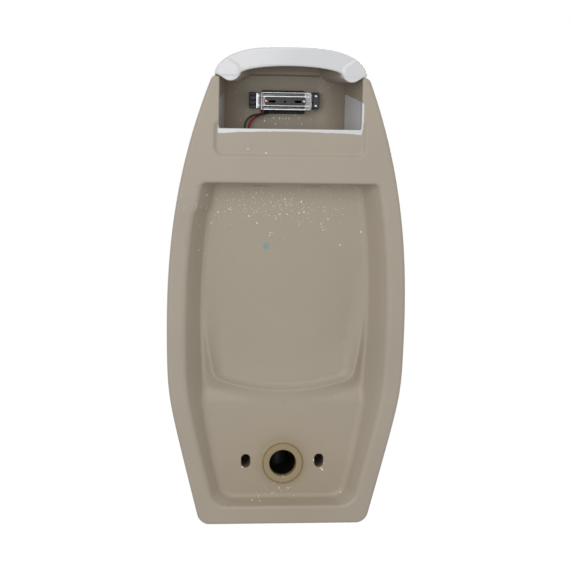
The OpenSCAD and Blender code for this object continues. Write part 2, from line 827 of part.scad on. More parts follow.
// Flush valve on the chest floor
washer_t = 2.5;
washer_d = 34;
flange_t = 3.5;
hub_h = 4;
hub_d = spud_d + 8;
chamber_h = 14;
diaphragm_t = 2;
cap_h = 7;
flange_z = chest_floor + washer_t;
hub_z = flange_z + flange_t;
deck_z = hub_z + hub_h;
chamber_z = deck_z + chamber_h;
bonnet_z = chamber_z + diaphragm_t;
cap_z = bonnet_z + cap_h;
nut_z = cap_z + coil_h;
tube_top = nut_z + 3;
spud_foot = ceiling_z - 24;
spud_nut_d = 30;
arm_z = deck_z + chamber_h / 2;
arm_d = chamber_h - 1;
arm_bore = 8;
boss_d = spindle_d + 9;
socket_d = nipple_d + 6;
spindle_x = -(chamber_d + boss_d) / 2 - 0.5;

module spud() {
    color([0.78, 0.62, 0.32])
    at_valve(0)
    difference() {
        union() {
            translate([0, 0, spud_foot])
                cylinder(h = hub_z + 8 - spud_foot, d = spud_d);
            translate([0, 0, flange_z])
                cylinder(h = hub_z - flange_z, d = washer_d);
        }
        translate([0, 0, spud_foot - 1])
            cylinder(h = hub_z + 10 - spud_foot, d = spud_bore);
    }
}

module spud_washer() {
    color([0.12, 0.12, 0.12])
    at_valve(chest_floor)
    difference() {
        cylinder(h = washer_t, d = washer_d);
        translate([0, 0, -1])
            cylinder(h = washer_t + 2, d = spud_d + 2 * slip);
    }
}

module spud_nut() {
    color([0.78, 0.62, 0.32])
    at_valve(ceiling_z - 7)
    difference() {
        cylinder(h = 7, d = spud_nut_d, $fn = 6);
        translate([0, 0, -1])
            cylinder(h = 9, d = spud_d + 2 * slip);
    }
}

spreader_d = 34;
module spreader() {
    color([0.85, 0.86, 0.88])
    at_valve(spud_foot)
    difference() {
        rotate_extrude()
            polygon([[spud_d / 2 + slip, 12], [spud_d / 2 + 3, 12], [spreader_d / 2 - 2, 5],
                [spreader_d / 2, 2], [spreader_d / 2, -3], [spreader_d / 2 - 4, -6], [0, -8], [0, -5],
                [spreader_d / 2 - 5, -3.5], [spreader_d / 2 - 3, -1], [spud_d / 2 + slip, 0]]);
        for (a = [-50 : 25 : 50])
            rotate([0, 0, 90 + a])
                translate([0, 0, -3])
                    rotate([0, 90, 0])
                        cylinder(h = spreader_d, d = 2.6);
    }
}

module valve_body() {
    color([0.74, 0.58, 0.3])
    at_valve(0)
    difference() {
        union() {
            translate([0, 0, hub_z])
                cylinder(h = hub_h + 1, d = hub_d);
            translate([0, 0, deck_z])
                cylinder(h = chamber_h, d = chamber_d);
            translate([-nipple_x, 0, arm_z])
                rotate([0, 90, 0])
                    cylinder(h = nipple_x, d = arm_d);
            translate([-nipple_x, 0, arm_z - 9])
                cylinder(h = 22, d = socket_d);
            translate([spindle_x, 0, arm_z])
                cylinder(h = 15, d = boss_d);
        }
        translate([0, 0, hub_z - 1])
            cylinder(h = 10, d = spud_d + 2 * slip);
        translate([0, 0, hub_z])
            cylinder(h = chamber_z - hub_z + over, d = spud_bore);
        translate([0, 0, chamber_z - 7])
            difference() {
                cylinder(h = 8, d = chamber_d - 12);
                translate([0, 0, -1])
                    cylinder(h = 6, d = spud_bore + 4);
            }
        translate([-nipple_x, 0, arm_z])
            rotate([0, 90, 0])
                cylinder(h = nipple_x - spud_bore / 2 - 4, d = arm_bore);
        translate([-nipple_x, 0, arm_z - 3])
            cylinder(h = 20, d = nipple_d + 2 * slip);
        translate([spindle_x, 0, arm_z - 5])
            cylinder(h = 30, d = spindle_d + 2 * slip);
        translate([spindle_x, 0, arm_z + 10])
            cylinder(h = 10, d = spindle_d + 4.4);
        bonnet_bolts(0)
            translate([0, 0, chamber_z - 8])
                cylinder(h = 9, d = 3);
    }
}

module inlet_nipple() {
    color([0.8, 0.66, 0.36])
    at_valve(0)
    translate([-nipple_x, 0, arm_z - 3])
    difference() {
        union() {
            cylinder(h = 41, d = nipple_d);
            translate([0, 0, 16])
                rotate([0, 0, 30])
                    cylinder(h = 5, d = socket_d, $fn = 6);
        }
        translate([0, 0, -1])
            cylinder(h = 50, d = nipple_bore);
    }
}

module inlet_filter() {
    color([0.7, 0.72, 0.74])
    at_valve(0)
    translate([-nipple_x, 0, arm_z + 20])
    difference() {
        union() {
            cylinder(h = 16, d = nipple_bore - 3);
            translate([0, 0, 14.5])
                cylinder(h = 1.5, d = nipple_bore);
        }
        translate([0, 0, 1])
            cylinder(h = 20, d = nipple_bore - 4.4);
    }
}

module stop_spindle() {
    color([0.86, 0.87, 0.88])
    at_valve(0)
    translate([spindle_x, 0, arm_z])
    difference() {
        union() {
            translate([0, 0, -5])
                cylinder(h = 20, d = spindle_d);
            translate([0, 0, 15])
                cylinder(h = 3, d = spindle_d + 3);
        }
        translate([-10, 0, 2])
            rotate([0, 90, 0])
                cylinder(h = 20, d = 5);
        translate([-10, -0.6, 16.5])
            cube([20, 1.2, 2]);
    }
}

module spindle_seal() {
    color([0.1, 0.1, 0.1])
    at_valve(0)
    translate([spindle_x, 0, arm_z + 12])
        rotate_extrude()
            translate([spindle_d / 2 + 1.1, 0])
                circle(1, $fn = 24);
}

module bonnet_bolts(z) {
    for (a = [45 : 90 : 315])
        rotate([0, 0, a])
            translate([chamber_d / 2 - 3, 0, z])
                children();
}

module diaphragm() {
    color([0.15, 0.15, 0.15])
    at_valve(0)
    difference() {
        union() {
            translate([0, 0, chamber_z])
                cylinder(h = bonnet_z - chamber_z, d = chamber_d - 1);
            translate([0, 0, chamber_z - 2])
                cylinder(h = 3, d = spud_bore + 4);
        }
        translate([0, 0, chamber_z - 5])
            cylinder(h = 10, d = 2);
        bonnet_bolts(chamber_z - 1)
            cylinder(h = 9, d = 3.4);
    }
}

module bonnet() {
    color([0.16, 0.17, 0.19])
    at_valve(bonnet_z)
    difference() {
        cylinder(h = cap_z - bonnet_z, d = chamber_d);
        translate([0, 0, -1])
            cylinder(h = 4.5, d = chamber_d - 13);
        cylinder(h = 20, d = tube_d + 2 * slip);
        bonnet_bolts(-1)
            cylinder(h = 9, d = 3.4);
    }
}

module bonnet_screws() {
    color([0.8, 0.8, 0.82])
    at_valve(0)
    bonnet_bolts(0)
    difference() {
        union() {
            translate([0, 0, cap_z])
                cylinder(h = 2.2, d = 5);
            translate([0, 0, chamber_z - 7])
                cylinder(h = cap_z - chamber_z + 8, d = 3);
        }
        translate([0, 0, cap_z + 1.2])
            cylinder(h = 2, d = 2.6, $fn = 6);
    }
}

tube_d = 10;
module guide_tube() {
    color([0.75, 0.76, 0.78])
    at_valve(0)
    difference() {
        union() {
            translate([0, 0, bonnet_z + 2])
                cylinder(h = 1.5, d = tube_d + 6);
            translate([0, 0, bonnet_z + 2])
                cylinder(h = tube_top - bonnet_z - 2, d = tube_d);
        }
        translate([0, 0, bonnet_z + 1])
            cylinder(h = tube_top - bonnet_z - 2, d = plunger_d + 2 * slip);
    }
}

plunger_z = bonnet_z + 0.6;
module plunger() {
    color([0.6, 0.62, 0.65])
    at_valve(plunger_z)
        cylinder(h = plunger_len, d = plunger_d);
}

spring_top = tube_top - 1;
spring_foot = plunger_z + plunger_len;
spring_turns = 5;
wire_d = 0.7;
module plunger_spring() {
    color([0.75, 0.75, 0.78])
    at_valve(spring_foot + wire_d / 2)
        swept_tube([for (i = [0 : spring_turns * 10]) let (
            a = 36 * i,
            z = (spring_top - spring_foot - wire_d) * i / (spring_turns * 10))
            [3 * cos(a), 3 * sin(a), z]], wire_d, 6);
}

module solenoid_coil() {
    color([0.1, 0.13, 0.2])
    at_valve(cap_z)
    difference() {
        union() {
            cylinder(h = coil_h, d = coil_d);
            translate([coil_d / 2 - 3, -8, 1])
                cube([10, 13, 13]);
        }
        translate([0, 0, -1])
            cylinder(h = coil_h + 2, d = tube_d + 2 * slip);
    }
}

module coil_nut() {
    color([0.8, 0.8, 0.82])
    at_valve(nut_z)
    difference() {
        cylinder(h = 2.5, d = 16, $fn = 6);
        translate([0, 0, -1])
            cylinder(h = 5, d = tube_d + 2 * slip);
    }
}

// Cartridge in the drain well
ring_z = well_top - seat_h;
module trap_ring() {
    color([0.1, 0.1, 0.1])
    at_well(ring_z)
    difference() {
        cylinder(h = ring_t, d = strainer_d - 1);
        translate([0, 0, -1])
            cylinder(h = ring_t + 2, d = well_d - 6);
    }
}

module trap_tube() {
    color([0.9, 0.9, 0.88])
    at_well(0)
    difference() {
        union() {
            translate([0, 0, ring_z + ring_t])
                cylinder(h = dip_flange_t, d = strainer_d - 1);
            translate([0, 0, -dip_drop])
                cylinder(h = dip_drop + ring_z + ring_t + 1, d = dip_d);
        }
        translate([0, 0, -dip_drop - 1])
            cylinder(h = 200, d = dip_d - 2 * dip_t);
    }
}

module drain_strainer() {
    color([0.82, 0.83, 0.85])
    at_well(well_top - strainer_t)
    difference() {
        union() {
            cylinder(h = strainer_t, d = strainer_d);
            cylinder(h = strainer_t + 4, d = 12);
        }
        for (ring = [[6, 10.5], [9, 15]], i = [0 : ring[0] - 1])
            rotate([0, 0, 360 * i / ring[0]])
                translate([ring[1], 0, -1])
                    cylinder(h = strainer_t + 2, d = 4.4);
    }
}

ceramic_body();
top_cover();
cover_pads();
sensor_faceplate();
sensor_window();
faceplate_gasket();
sensor_housing();
housing_screws();
circuit_board();
infrared_pair();
battery_pack();
foam_pad();
clamp_tray();
end_pad();
cable_clip();
clip_screws();
red_lead();
black_lead();
spud();
spud_washer();
spud_nut();
spreader();
valve_body();
inlet_nipple();
inlet_filter();
stop_spindle();
spindle_seal();
diaphragm();
bonnet();
bonnet_screws();
guide_tube();
plunger();
plunger_spring();
solenoid_coil();
coil_nut();
drain_strainer();
trap_tube();
trap_ring();
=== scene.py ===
import json
import bpy
import numpy as np
from mathutils import Matrix, Vector


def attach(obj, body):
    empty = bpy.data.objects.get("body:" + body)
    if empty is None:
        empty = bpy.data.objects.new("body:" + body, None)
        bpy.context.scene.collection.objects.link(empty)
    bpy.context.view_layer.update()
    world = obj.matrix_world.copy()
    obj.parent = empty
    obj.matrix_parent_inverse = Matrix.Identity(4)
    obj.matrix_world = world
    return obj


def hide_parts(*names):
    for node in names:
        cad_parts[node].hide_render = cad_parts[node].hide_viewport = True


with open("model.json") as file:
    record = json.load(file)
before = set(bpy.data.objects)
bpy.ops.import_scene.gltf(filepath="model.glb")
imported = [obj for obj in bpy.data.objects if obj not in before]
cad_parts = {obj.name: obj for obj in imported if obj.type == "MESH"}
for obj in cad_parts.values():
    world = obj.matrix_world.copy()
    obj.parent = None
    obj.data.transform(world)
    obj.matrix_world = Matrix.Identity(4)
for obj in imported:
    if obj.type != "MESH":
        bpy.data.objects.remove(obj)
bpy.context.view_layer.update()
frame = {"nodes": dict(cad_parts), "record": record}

scene = bpy.context.scene
link = scene.collection.objects.link

# Camera: behind the urinal, above its middle and a little to one side, aimed slightly down and
# turned a degree, as the photograph was taken.
camera_place = np.array([0.2473, 2.2729, 0.6038])
camera_yaw, camera_pitch, camera_roll = -0.1067, -0.1442, 0.0192
focal_pixels, frame_pixels = 1586, 570

ahead = np.array([
    np.sin(camera_yaw) * np.cos(camera_pitch),
    -np.cos(camera_yaw) * np.cos(camera_pitch),
    np.sin(camera_pitch)])
level_right = np.cross(ahead, [0, 0, 1])
level_right /= np.linalg.norm(level_right)
level_up = np.cross(level_right, ahead)
right = np.cos(camera_roll) * level_right + np.sin(camera_roll) * level_up
up = -np.sin(camera_roll) * level_right + np.cos(camera_roll) * level_up
lens = bpy.data.cameras.new("camera")
lens.sensor_width = 36
lens.lens = focal_pixels / frame_pixels * lens.sensor_width
camera = bpy.data.objects.new("camera", lens)
link(camera)
camera.matrix_world = Matrix([
    [right[i], up[i], -ahead[i], camera_place[i]] for i in range(3)] + [[0, 0, 0, 1]])
scene.camera = camera

# Two leads of the sensor: stranded copper in soft PVC insulation, red and black. They leave the
# clamp tray through two holes, hang over to the cable side and go into the coil's terminal block.
lead_d = 0.0030
red_route = [
    (30, -108, 522), (30.5, -108, 518), (34, -109, 514), (40, -109, 511), (47, -107, 506),
    (51, -103, 499), (52, -98, 491), (49, -92, 483), (42, -87, 475), (32, -85, 470), (20.2, -85, 469)]
black_route = [
    (22, -108, 522), (22.5, -108, 518), (27, -105, 516), (36, -102, 515), (46, -99, 513),
    (54, -97, 508), (58, -96, 500), (58, -95, 491), (53, -94, 483), (44, -93, 477), (33, -92, 475),
    (20.2, -92, 475)]
lead_steps, lead_sides, slanted = 3, 16, (0.31, 0.9, 0.3)


def smooth_route(points, steps):
    """A Catmull-Rom spline through the points, in metres, with that many steps between two points."""
    p = np.array(points, float) / 1000
    p = np.vstack([p[:1], p, p[-1:]])
    t = (np.arange(steps) / steps)[None, :, None]
    a, b, c, d = (p[i:len(p) - 3 + i, None, :] for i in range(4))
    curve = 0.5 * (2 * b + (c - a) * t + (2 * a - 5 * b + 4 * c - d) * t ** 2
                   + (3 * b - a - 3 * c + d) * t ** 3)
    return np.vstack([curve.reshape(-1, 3), p[-1:]])


def put(name, points, faces):
    """A smooth mesh object at the origin, from its points and faces."""
    mesh = bpy.data.meshes.new(name)
    mesh.from_pydata(np.asarray(points).tolist(), [], [list(face) for face in faces])
    mesh.polygons.foreach_set("use_smooth", np.full(len(mesh.polygons), True))
    mesh.validate()
    piece = bpy.data.objects.new(name, mesh)
    link(piece)
    return piece


def lofted(rings):
    """Points and faces of a skin through rings of equal length, each counter-clockwise seen from
    where the next one lies, closed by a cap at each end."""
    rings = np.asarray(rings, float)
    here = np.arange(rings.shape[0] * rings.shape[1]).reshape(rings.shape[:2])
    along, beyond = here[:-1], here[1:]
    sides = np.stack([along, np.roll(along, -1, 1), np.roll(beyond, -1, 1), beyond], -1).reshape(-1, 4)
    return rings.reshape(-1, 3), sides.tolist() + [list(here[0][::-1]), list(here[-1])]


def at_length_1(rows):
    """Each row over its length."""
    return rows / np.linalg.norm(rows, axis=1)[:, None]


def swept(path, radius, sides):
    """Rings of a round tube along a path, which nowhere runs along the direction slanted."""
    along = at_length_1(np.gradient(path, axis=0))
    across = at_length_1(np.cross(along, slanted))
    over = np.cross(along, across)
    turn = 2 * np.pi * np.arange(sides) / sides
    return path[:, None] + radius * (
        np.cos(turn)[None, :, None] * across[:, None] + np.sin(turn)[None, :, None] * over[:, None])


def node(tree, kind, inputs, **settings):
    """The outputs of a new shader node, each input set to a value or linked to another's output."""
    made = tree.nodes.new("ShaderNode" + kind)
    for name, value in settings.items():
        setattr(made, name, value)
    for key, value in inputs.items():
        if isinstance(value, bpy.types.NodeSocket):
            tree.links.new(value, made.inputs[key])
        else:
            made.inputs[key].default_value = value
    return made.outputs


def paint(name, colour, roughness, **sockets):
    """A material with a Principled shader, its node tree, and a function that feeds one of the
    shader's inputs from another node."""
    material = bpy.data.materials.new(name)
    material.use_nodes = True
    tree = material.node_tree
    inputs = tree.nodes["Principled BSDF"].inputs
    inputs["Base Color"].default_value = (*colour, 1)
    inputs["Roughness"].default_value = roughness
    for socket, value in sockets.items():
        inputs[socket.replace("_", " ")].default_value = value
    return material, tree, lambda key, output: tree.links.new(output, inputs[key])


def noise(tree, scale, detail=3, roughness=0.5, stretch=None):
    """A noise texture on Object coordinates, stretched where asked."""
    place = node(tree, "TexCoord", {})["Object"]
    if stretch:
        place = node(tree, "Mapping", {"Scale": stretch, "Vector": place})["Vector"]
    return node(tree, "TexNoise", {
        "Scale": scale, "Detail": detail, "Roughness": roughness, "Vector": place})["Fac"]


def spread(tree, value, low, high, to_low=0.0, to_high=1.0):
    """Maps a value from low..high to to_low..to_high, clamped."""
    return node(tree, "MapRange", {
        "Value": value, "From Min": low, "From Max": high, "To Min": to_low, "To Max": to_high})["Result"]


def blend(tree, factor, *colours):
    """Mixes two colours, each a linear RGB tuple or a colour socket."""
    below, above = ((*colour, 1) if isinstance(colour, tuple) else colour for colour in colours)
    return node(tree, "Mix", {"Factor": factor, 6: below, 7: above}, data_type="RGBA")[2]


def darker(colour, share):
    """A share of a colour."""
    return tuple(share * part for part in colour)


def bump(tree, height, strength, distance):
    """The normal of a bump of that height, in metres where it is full."""
    return node(tree, "Bump", {"Strength": strength, "Distance": distance, "Height": height})["Normal"]


def insulation(name, colour):
    """Soft PVC: a satin skin with faint, darker scuffs."""
    material, tree, feed = paint(name, colour, 0.38)
    scuff = noise(tree, 900, 4, 0.6)
    feed("Base Color", blend(tree, spread(tree, scuff, 0.4, 0.65), darker(colour, 0.72), colour))
    feed("Roughness", spread(tree, scuff, 0.3, 0.7, 0.3, 0.5))
    feed("Normal", bump(tree, scuff, 0.25, 0.00006))
    return material


def settle(piece, body, cad_node, finish):
    """Gives a piece its finish, and lets it ride on a body in place of a CAD node."""
    piece.data.materials.append(finish)
    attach(piece, body)
    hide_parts(cad_node)


def lead(name, route, slot, colour):
    """A round tube along the lead's smooth route."""
    path = smooth_route(route, lead_steps)
    piece = put(name.replace("lead", "wire"), *lofted(swept(path, lead_d / 2, lead_sides)))
    settle(piece, "china", name, insulation(slot, colour))


lead("red_lead", red_route, "red_insulation", (0.48, 0.018, 0.020))
lead("black_lead", black_route, "black_insulation", (0.012, 0.012, 0.013))


# Lamps: a wide soft one above the camera's left, as by a large window, one on the far side for the
# views from the front, and pale surroundings. The ground of the photograph is plain white.
def soft_lamp(name, place, aim, size, watts):
    """A square area lamp turned to its aim."""
    lamp = bpy.data.lights.new(name, "AREA")
    lamp.size, lamp.energy = size, watts
    holder = bpy.data.objects.new(name, lamp)
    link(holder)
    holder.location = place
    holder.rotation_euler = Vector(np.subtract(aim, place)).to_track_quat("-Z", "Y").to_euler()


soft_lamp("window_lamp", place=(0.60, 1.95, 1.20), aim=(0, -0.05, 0.25), size=1.9, watts=25)
soft_lamp("front_lamp", place=(-1.0, -2.2, 1.3), aim=(0, -0.1, 0.25), size=1.8, watts=46)
world = bpy.data.worlds.new("pale_room")
scene.world = world
world.use_nodes = True
tree = world.node_tree
room = tree.nodes["Background"]
room.inputs["Color"].default_value = (1, 0.99, 0.97, 1)
room.inputs["Strength"].default_value = 0.52
ground = node(tree, "Background", {"Color": (1, 1, 1, 1)})["Background"]
rays = node(tree, "LightPath", {})
seen = rays["Is Camera Ray"]
for ray in ("Is Glossy Ray", "Is Transmission Ray"):
    seen = node(tree, "Math", {0: seen, 1: rays[ray]}, operation="MAXIMUM")["Value"]
mixed = node(tree, "MixShader", {"Fac": seen, 1: room.outputs["Background"], 2: ground})["Shader"]
tree.links.new(mixed, tree.nodes["World Output"].inputs["Surface"])
scene.view_settings.view_transform = "Standard"

# China body: vitreous china, slip cast in plaster with a hollow belly, glazed white in front and in
# the bowl, left bare behind where it stands on the kiln shelf's props. It hangs by two slots on
# its wall bolts, and the drain spigot enters the collar at the back.
outlet_h = 0.088
body_w, body_h, body_d = 0.350, 0.661, 0.330
top_w, top_d, foot_w, foot_d = 0.226, 0.132, 0.248, 0.150
wide_h, bend_h, bend_r, rim_h, corner_r = 0.300, 0.200, 0.040, 0.262, 0.014
flange_w, recess_low_h, recess_high_h = 0.0255, 0.027, 0.5075
groove_foot, groove_low, groove_high = 0.029, 0.036, 0.041
groove_turn_h, groove_turn, crest_turn_h, crest_turn = 0.150, 0.110, 0.200, 0.140
crest_low, crest_high, bulge_depth, bulge_fall, corner_fall = 0.030, 0.035, 0.0345, 0.018, 0.017
bulge_turn_h, crest_r, crest_corner, beside_w = 0.410, 0.0015, 0.010, 0.030
ridge_w, ridge_top_w, ridge_foot_w = 0.240, 0.218, 0.206
arc_h, arc_rise, crest_in, crest_out, arc_in, arc_out = 0.196, 0.020, 0.020, 0.014, 0.009, 0.017
panel_low_h, panel_high_h, panel_depth, panel_lean = 0.036, 0.179, 0.025, 0.006
panel_top_w, panel_foot_w, panel_out, panel_foot_r = 0.242, 0.185, 0.020, 0.016
step_w, step_h, step_turn, draft, top_draft = 0.004, 0.460, 0.012, 1.35, 14
wall_r, back_r, recess_r, flange_r, edge_r = 0.006, 0.008, 0.005, 0.0035, 0.0045
bowl_floor_h, bowl_top_h, bowl_w, floor_w = 0.150, 0.500, 0.238, 0.090
rim_t, bowl_back, well_y, well_drop, well_d = 0.024, 0.066, 0.120, 0.060, 0.056
back_shift, middle_shift, floor_reach, arch_over = 0.018, 0.026, 0.040, 0.003
rim_r, arch_r, bowl_floor_r, mouth_r = 0.010, 0.010, 0.012, 0.030
crown_n, depth_n, belly_n, belly_more_n, basin_n, arch_n, bowl_n = 2.3, 1.25, 2.3, 0.7, 0.75, 3.2, 2.4
chest_floor_h, window_w, lip_h, lip_t = 0.519, 0.206, 0.586, 0.014
chest_d, chest_front_w, chest_r, chest_floor_r, chest_flare = 0.118, 0.170, 0.034, 0.010, 1.04
notch_depth, notch_w, notch_h, notch_r, notch_ease, notch_over = 0.0040, 0.217, 0.548, 0.012, 0.007, 0.04
top_r, top_more_r, top_turn, top_turn_y = 0.0035, 0.0025, 0.030, 0.040
outlet_d, collar_d, collar_t, collar_deep, collar_r = 0.040, 0.059, 0.006, 0.040, 0.0035
slot_span, slot_w, slot_h, slot_rise, slot_reach = 0.110, 0.0133, 0.020, 0.002, 0.085
strainer_d, strainer_seat, strainer_gap = 0.066, 0.008, 0.0005
spud_y, spud_hole_d, nut_hole_d, spud_low, past = 0.088, 0.022, 0.036, 0.030, 0.010
sensor_h, seat_y, face_w, face_h, housing_w, housing_h = 0.623, 0.130, 0.084, 0.038, 0.064, 0.022
tiny, step = 1e-9, 0.0001


def soft(x, r):
    """x where it is above 0 and 0 below, the corner rounded off over r."""
    return (x + np.sqrt(x * x + r * r)) / 2


def ramp(t):
    """The smooth step from 0 to 1."""
    t = np.clip(t, 0, 1)
    return t * t * (3 - 2 * t)


def soft_min(a, b, k):
    """The lesser of two, with the corner between them eased over k."""
    near = np.maximum(0, k - np.abs(a - b)) / k
    return np.minimum(a, b) - near * near * k / 4


def overlap(a, b, r):
    """What two solids share, as distances: an edge between them is rounded to radius r."""
    return np.minimum(-r, np.maximum(a, b)) + np.hypot(np.maximum(a + r, 0), np.maximum(b + r, 0))


def union(a, b, r):
    """Two solids together, as distances: a corner between them is filled to radius r."""
    return np.maximum(r, np.minimum(a, b)) - np.hypot(np.maximum(r - a, 0), np.maximum(r - b, 0))


def slope(shape, x, y, z):
    """The value of a shape function and its rise along each axis."""
    value = shape(x, y, z)
    return value, ((shape(x + step, y, z) - value) / step,
                   (shape(x, y + step, z) - value) / step,
                   (shape(x, y, z + step) - value) / step)


def even(shape, x, y, z):
    """A shape function over its slope, so that near the surface it reads as a distance."""
    value, (a, b, c) = slope(shape, x, y, z)
    return value / np.sqrt(a * a + b * b + c * c + tiny)


def half_width(h):
    """Half the body's width at a height: a straight taper below the bend, a power curve above."""
    foot = soft(bend_h - h, bend_r) - soft(bend_h - wide_h, bend_r)
    full = soft(bend_h, bend_r) - soft(bend_h - wide_h, bend_r)
    crown = (body_w - top_w) / 2 * np.maximum(0, (h - wide_h) / (body_h - wide_h)) ** crown_n
    return body_w / 2 - (body_w - foot_w) / 2 * np.maximum(0, foot) / full - crown


def depth(h):
    """The body's depth at a height: a power of a sine up to the rim, a parabola leaning back above."""
    low = foot_d + (body_d - foot_d) * np.sin(np.pi / 2 * np.clip(h / rim_h, 0, 1)) ** depth_n
    high = top_d + (body_d - top_d) * (1 - np.clip((h - rim_h) / (body_h - rim_h), 0, 1)) ** 2
    return np.where(h < rim_h, low, high)


def belly(x, y, z):
    """The outer shell: a superellipse of half-width and depth, squarer towards the top."""
    h = z + outlet_h
    n = belly_n + belly_more_n * np.clip((h - rim_h) / (body_h - rim_h), 0, 1)
    across, out = np.abs(x) / half_width(h), np.maximum(0, -y) / depth(h)
    return (across ** n + out ** n + tiny) ** (1 / n) - 1


def basin(h):
    """How far the bowl has opened at a height: a power of a sine from its floor to the rim."""
    return np.sin(np.pi / 2 * np.clip((h - bowl_floor_h) / (rim_h - bowl_floor_h), 0, 1)) ** basin_n


def arch_half(h):
    """Half the bowl's width at a height: it opens to the rim, and closes above it in a flat arch."""
    low = floor_w / 2 + (bowl_w - floor_w) / 2 * basin(h)
    dome = np.clip((h - rim_h) / (bowl_top_h + arch_over - rim_h), 0, 0.995)
    return np.where(h < rim_h, low, bowl_w / 2 * np.sqrt(1 - dome ** arch_n))


def bowl(x, y, z):
    """The bowl's hollow: superellipses about a middle line, wider in front than behind."""
    h = z + outlet_h
    open_share = basin(h)
    back = bowl_back + back_shift * (1 - open_share)
    middle = well_y + middle_shift * open_share
    rim = depth(np.minimum(h, rim_h)) - rim_t
    front = well_y + floor_reach + (rim - well_y - floor_reach) * open_share
    reach = np.where(y > -middle, middle - back, front - middle)
    across, along = np.abs(x) / arch_half(h), np.abs(y + middle) / reach
    return (across ** bowl_n + along ** bowl_n + tiny) ** (1 / bowl_n) - 1


def hollow(x, y, z):
    """The bowl with its mouth, which runs out through the front above the rim."""
    h = z + outlet_h
    arch = even(lambda x, y, z: np.abs(x) - arch_half(z + outlet_h), x, y, z)
    mouth = np.maximum(overlap(arch, rim_h - h, mouth_r), y + well_y + middle_shift)
    whole = overlap(np.minimum(even(bowl, x, y, z), mouth), h - bowl_top_h, arch_r)
    return overlap(whole, bowl_floor_h - h, bowl_floor_r)


def groove(h):
    """How deep the groove inside the flange is: it runs out at its foot and deepens above the panel."""
    return (groove_foot + (groove_low - groove_foot) * np.clip(h / groove_turn_h, 0, 1)
            + (groove_high - groove_low) * ramp((h - groove_turn_h) / groove_turn))


def fall(x, reach):
    """A side that falls from 0 to 1 over its reach: a smooth step mixed with a straight slope, its
    crest rounded over crest_r."""
    t = (np.sqrt(x * x + crest_r ** 2) - crest_r) / reach
    return 0.3 * ramp(t) + 0.7 * np.clip(t, 0, 1)


def ridge(x, y, z):
    """The back of the bowl: it bulges to the wall and falls away downward and to its corners, inside
    a ridge whose other side falls to the groove."""
    h = z + outlet_h
    middle = (recess_high_h + arc_h) / 2
    narrow = np.where(
        h > middle,
        (ridge_w - ridge_top_w) * ((h - middle) / (recess_high_h - middle)) ** 2,
        (ridge_w - ridge_foot_w) * ((middle - h) / (middle - arc_h - arc_rise)) ** 2)
    half = np.maximum(0.05, (ridge_w - narrow) / 2)
    side, under = half - np.abs(x), h - arc_h - arc_rise * (2 * x / ridge_foot_w) ** 2
    inside = soft_min(side, under, crest_corner)
    crest = crest_low + (crest_high - crest_low) * ramp((h - crest_turn_h) / crest_turn)
    low = np.clip((bulge_turn_h - h) / (bulge_turn_h - arc_h), 0, 1)
    corner = (0.1 + 0.9 * low ** 1.5) * np.minimum(1, np.abs(x) / half) ** 2.5
    bulge = bulge_depth + bulge_fall * low ** 2 + corner_fall * corner
    beside = ramp((under - side) / beside_w + 0.5)
    into, out = arc_in + (crest_in - arc_in) * beside, arc_out + (crest_out - arc_out) * beside
    within = crest + (bulge - crest) * fall(inside, into)
    return y + np.where(inside > 0, within, crest + (groove(h) - crest) * fall(inside, out))


def panel(x, y, z):
    """The flat drain panel, leaning in a little at its top, which falls to the groove all round."""
    h = z + outlet_h
    widens = (panel_top_w - panel_foot_w) * (h - panel_low_h) / (panel_high_h - panel_low_h)
    inside = soft_min((panel_foot_w + widens) / 2 - np.abs(x), panel_high_h - h, crest_corner)
    face = panel_depth + panel_lean * np.clip((h - outlet_h) / (panel_high_h - outlet_h), 0, 1)
    return y + np.where(inside > 0, face, face + (groove(h) - face) * fall(inside, panel_out))


def box_rod(x, z, w, h, r):
    """Distance from a bar with rounded corners along Y."""
    a, b = np.abs(x) - w / 2 + r, np.abs(z) - h / 2 + r
    return np.hypot(np.maximum(a, 0), np.maximum(b, 0)) + np.minimum(np.maximum(a, b), 0) - r


def rear(x, y, z):
    """The back: the flange in the wall plane and the recess, drafted, one side stepping in on top."""
    h = z + outlet_h
    side = even(lambda x, y, z: y + draft * (half_width(z + outlet_h) - flange_w - np.abs(x)
                - step_w * ramp((z + outlet_h - step_h) / step_turn) * (x > 0)), x, y, z)
    top = even(lambda x, y, z: y + top_draft * (recess_high_h - outlet_h - z), x, y, z)
    rise = panel_depth / (panel_low_h - recess_low_h)
    foot = (y + (h - recess_low_h) * rise) / np.hypot(1, rise)
    walls = union(union(side, top, wall_r), foot, panel_foot_r)
    floor = union(even(ridge, x, y, z), even(panel, x, y, z), back_r)
    return overlap(y, union(walls, floor, recess_r), flange_r)


def chest(x, y, z):
    """The valve chest: a tapered plan with rounded front corners, open above and behind the lip."""
    lean = (window_w - chest_front_w) / 2 / (chest_d - lip_t) * chest_flare
    side = (np.abs(x) - window_w / 2 - lean * np.minimum(y + lip_t, 0)) / np.hypot(1, lean)
    room = overlap(side, -y - chest_d, chest_r)
    room = overlap(room, chest_floor_h - outlet_h - z, chest_floor_r)
    return overlap(room, union(y + lip_t, lip_h - outlet_h - z, 0.005), 0.0005)


def rod(radius, from_axis, low, high):
    """A round bar from the distance to its axis and the distances past its two ends."""
    return np.maximum(from_axis - radius, np.maximum(low, high))


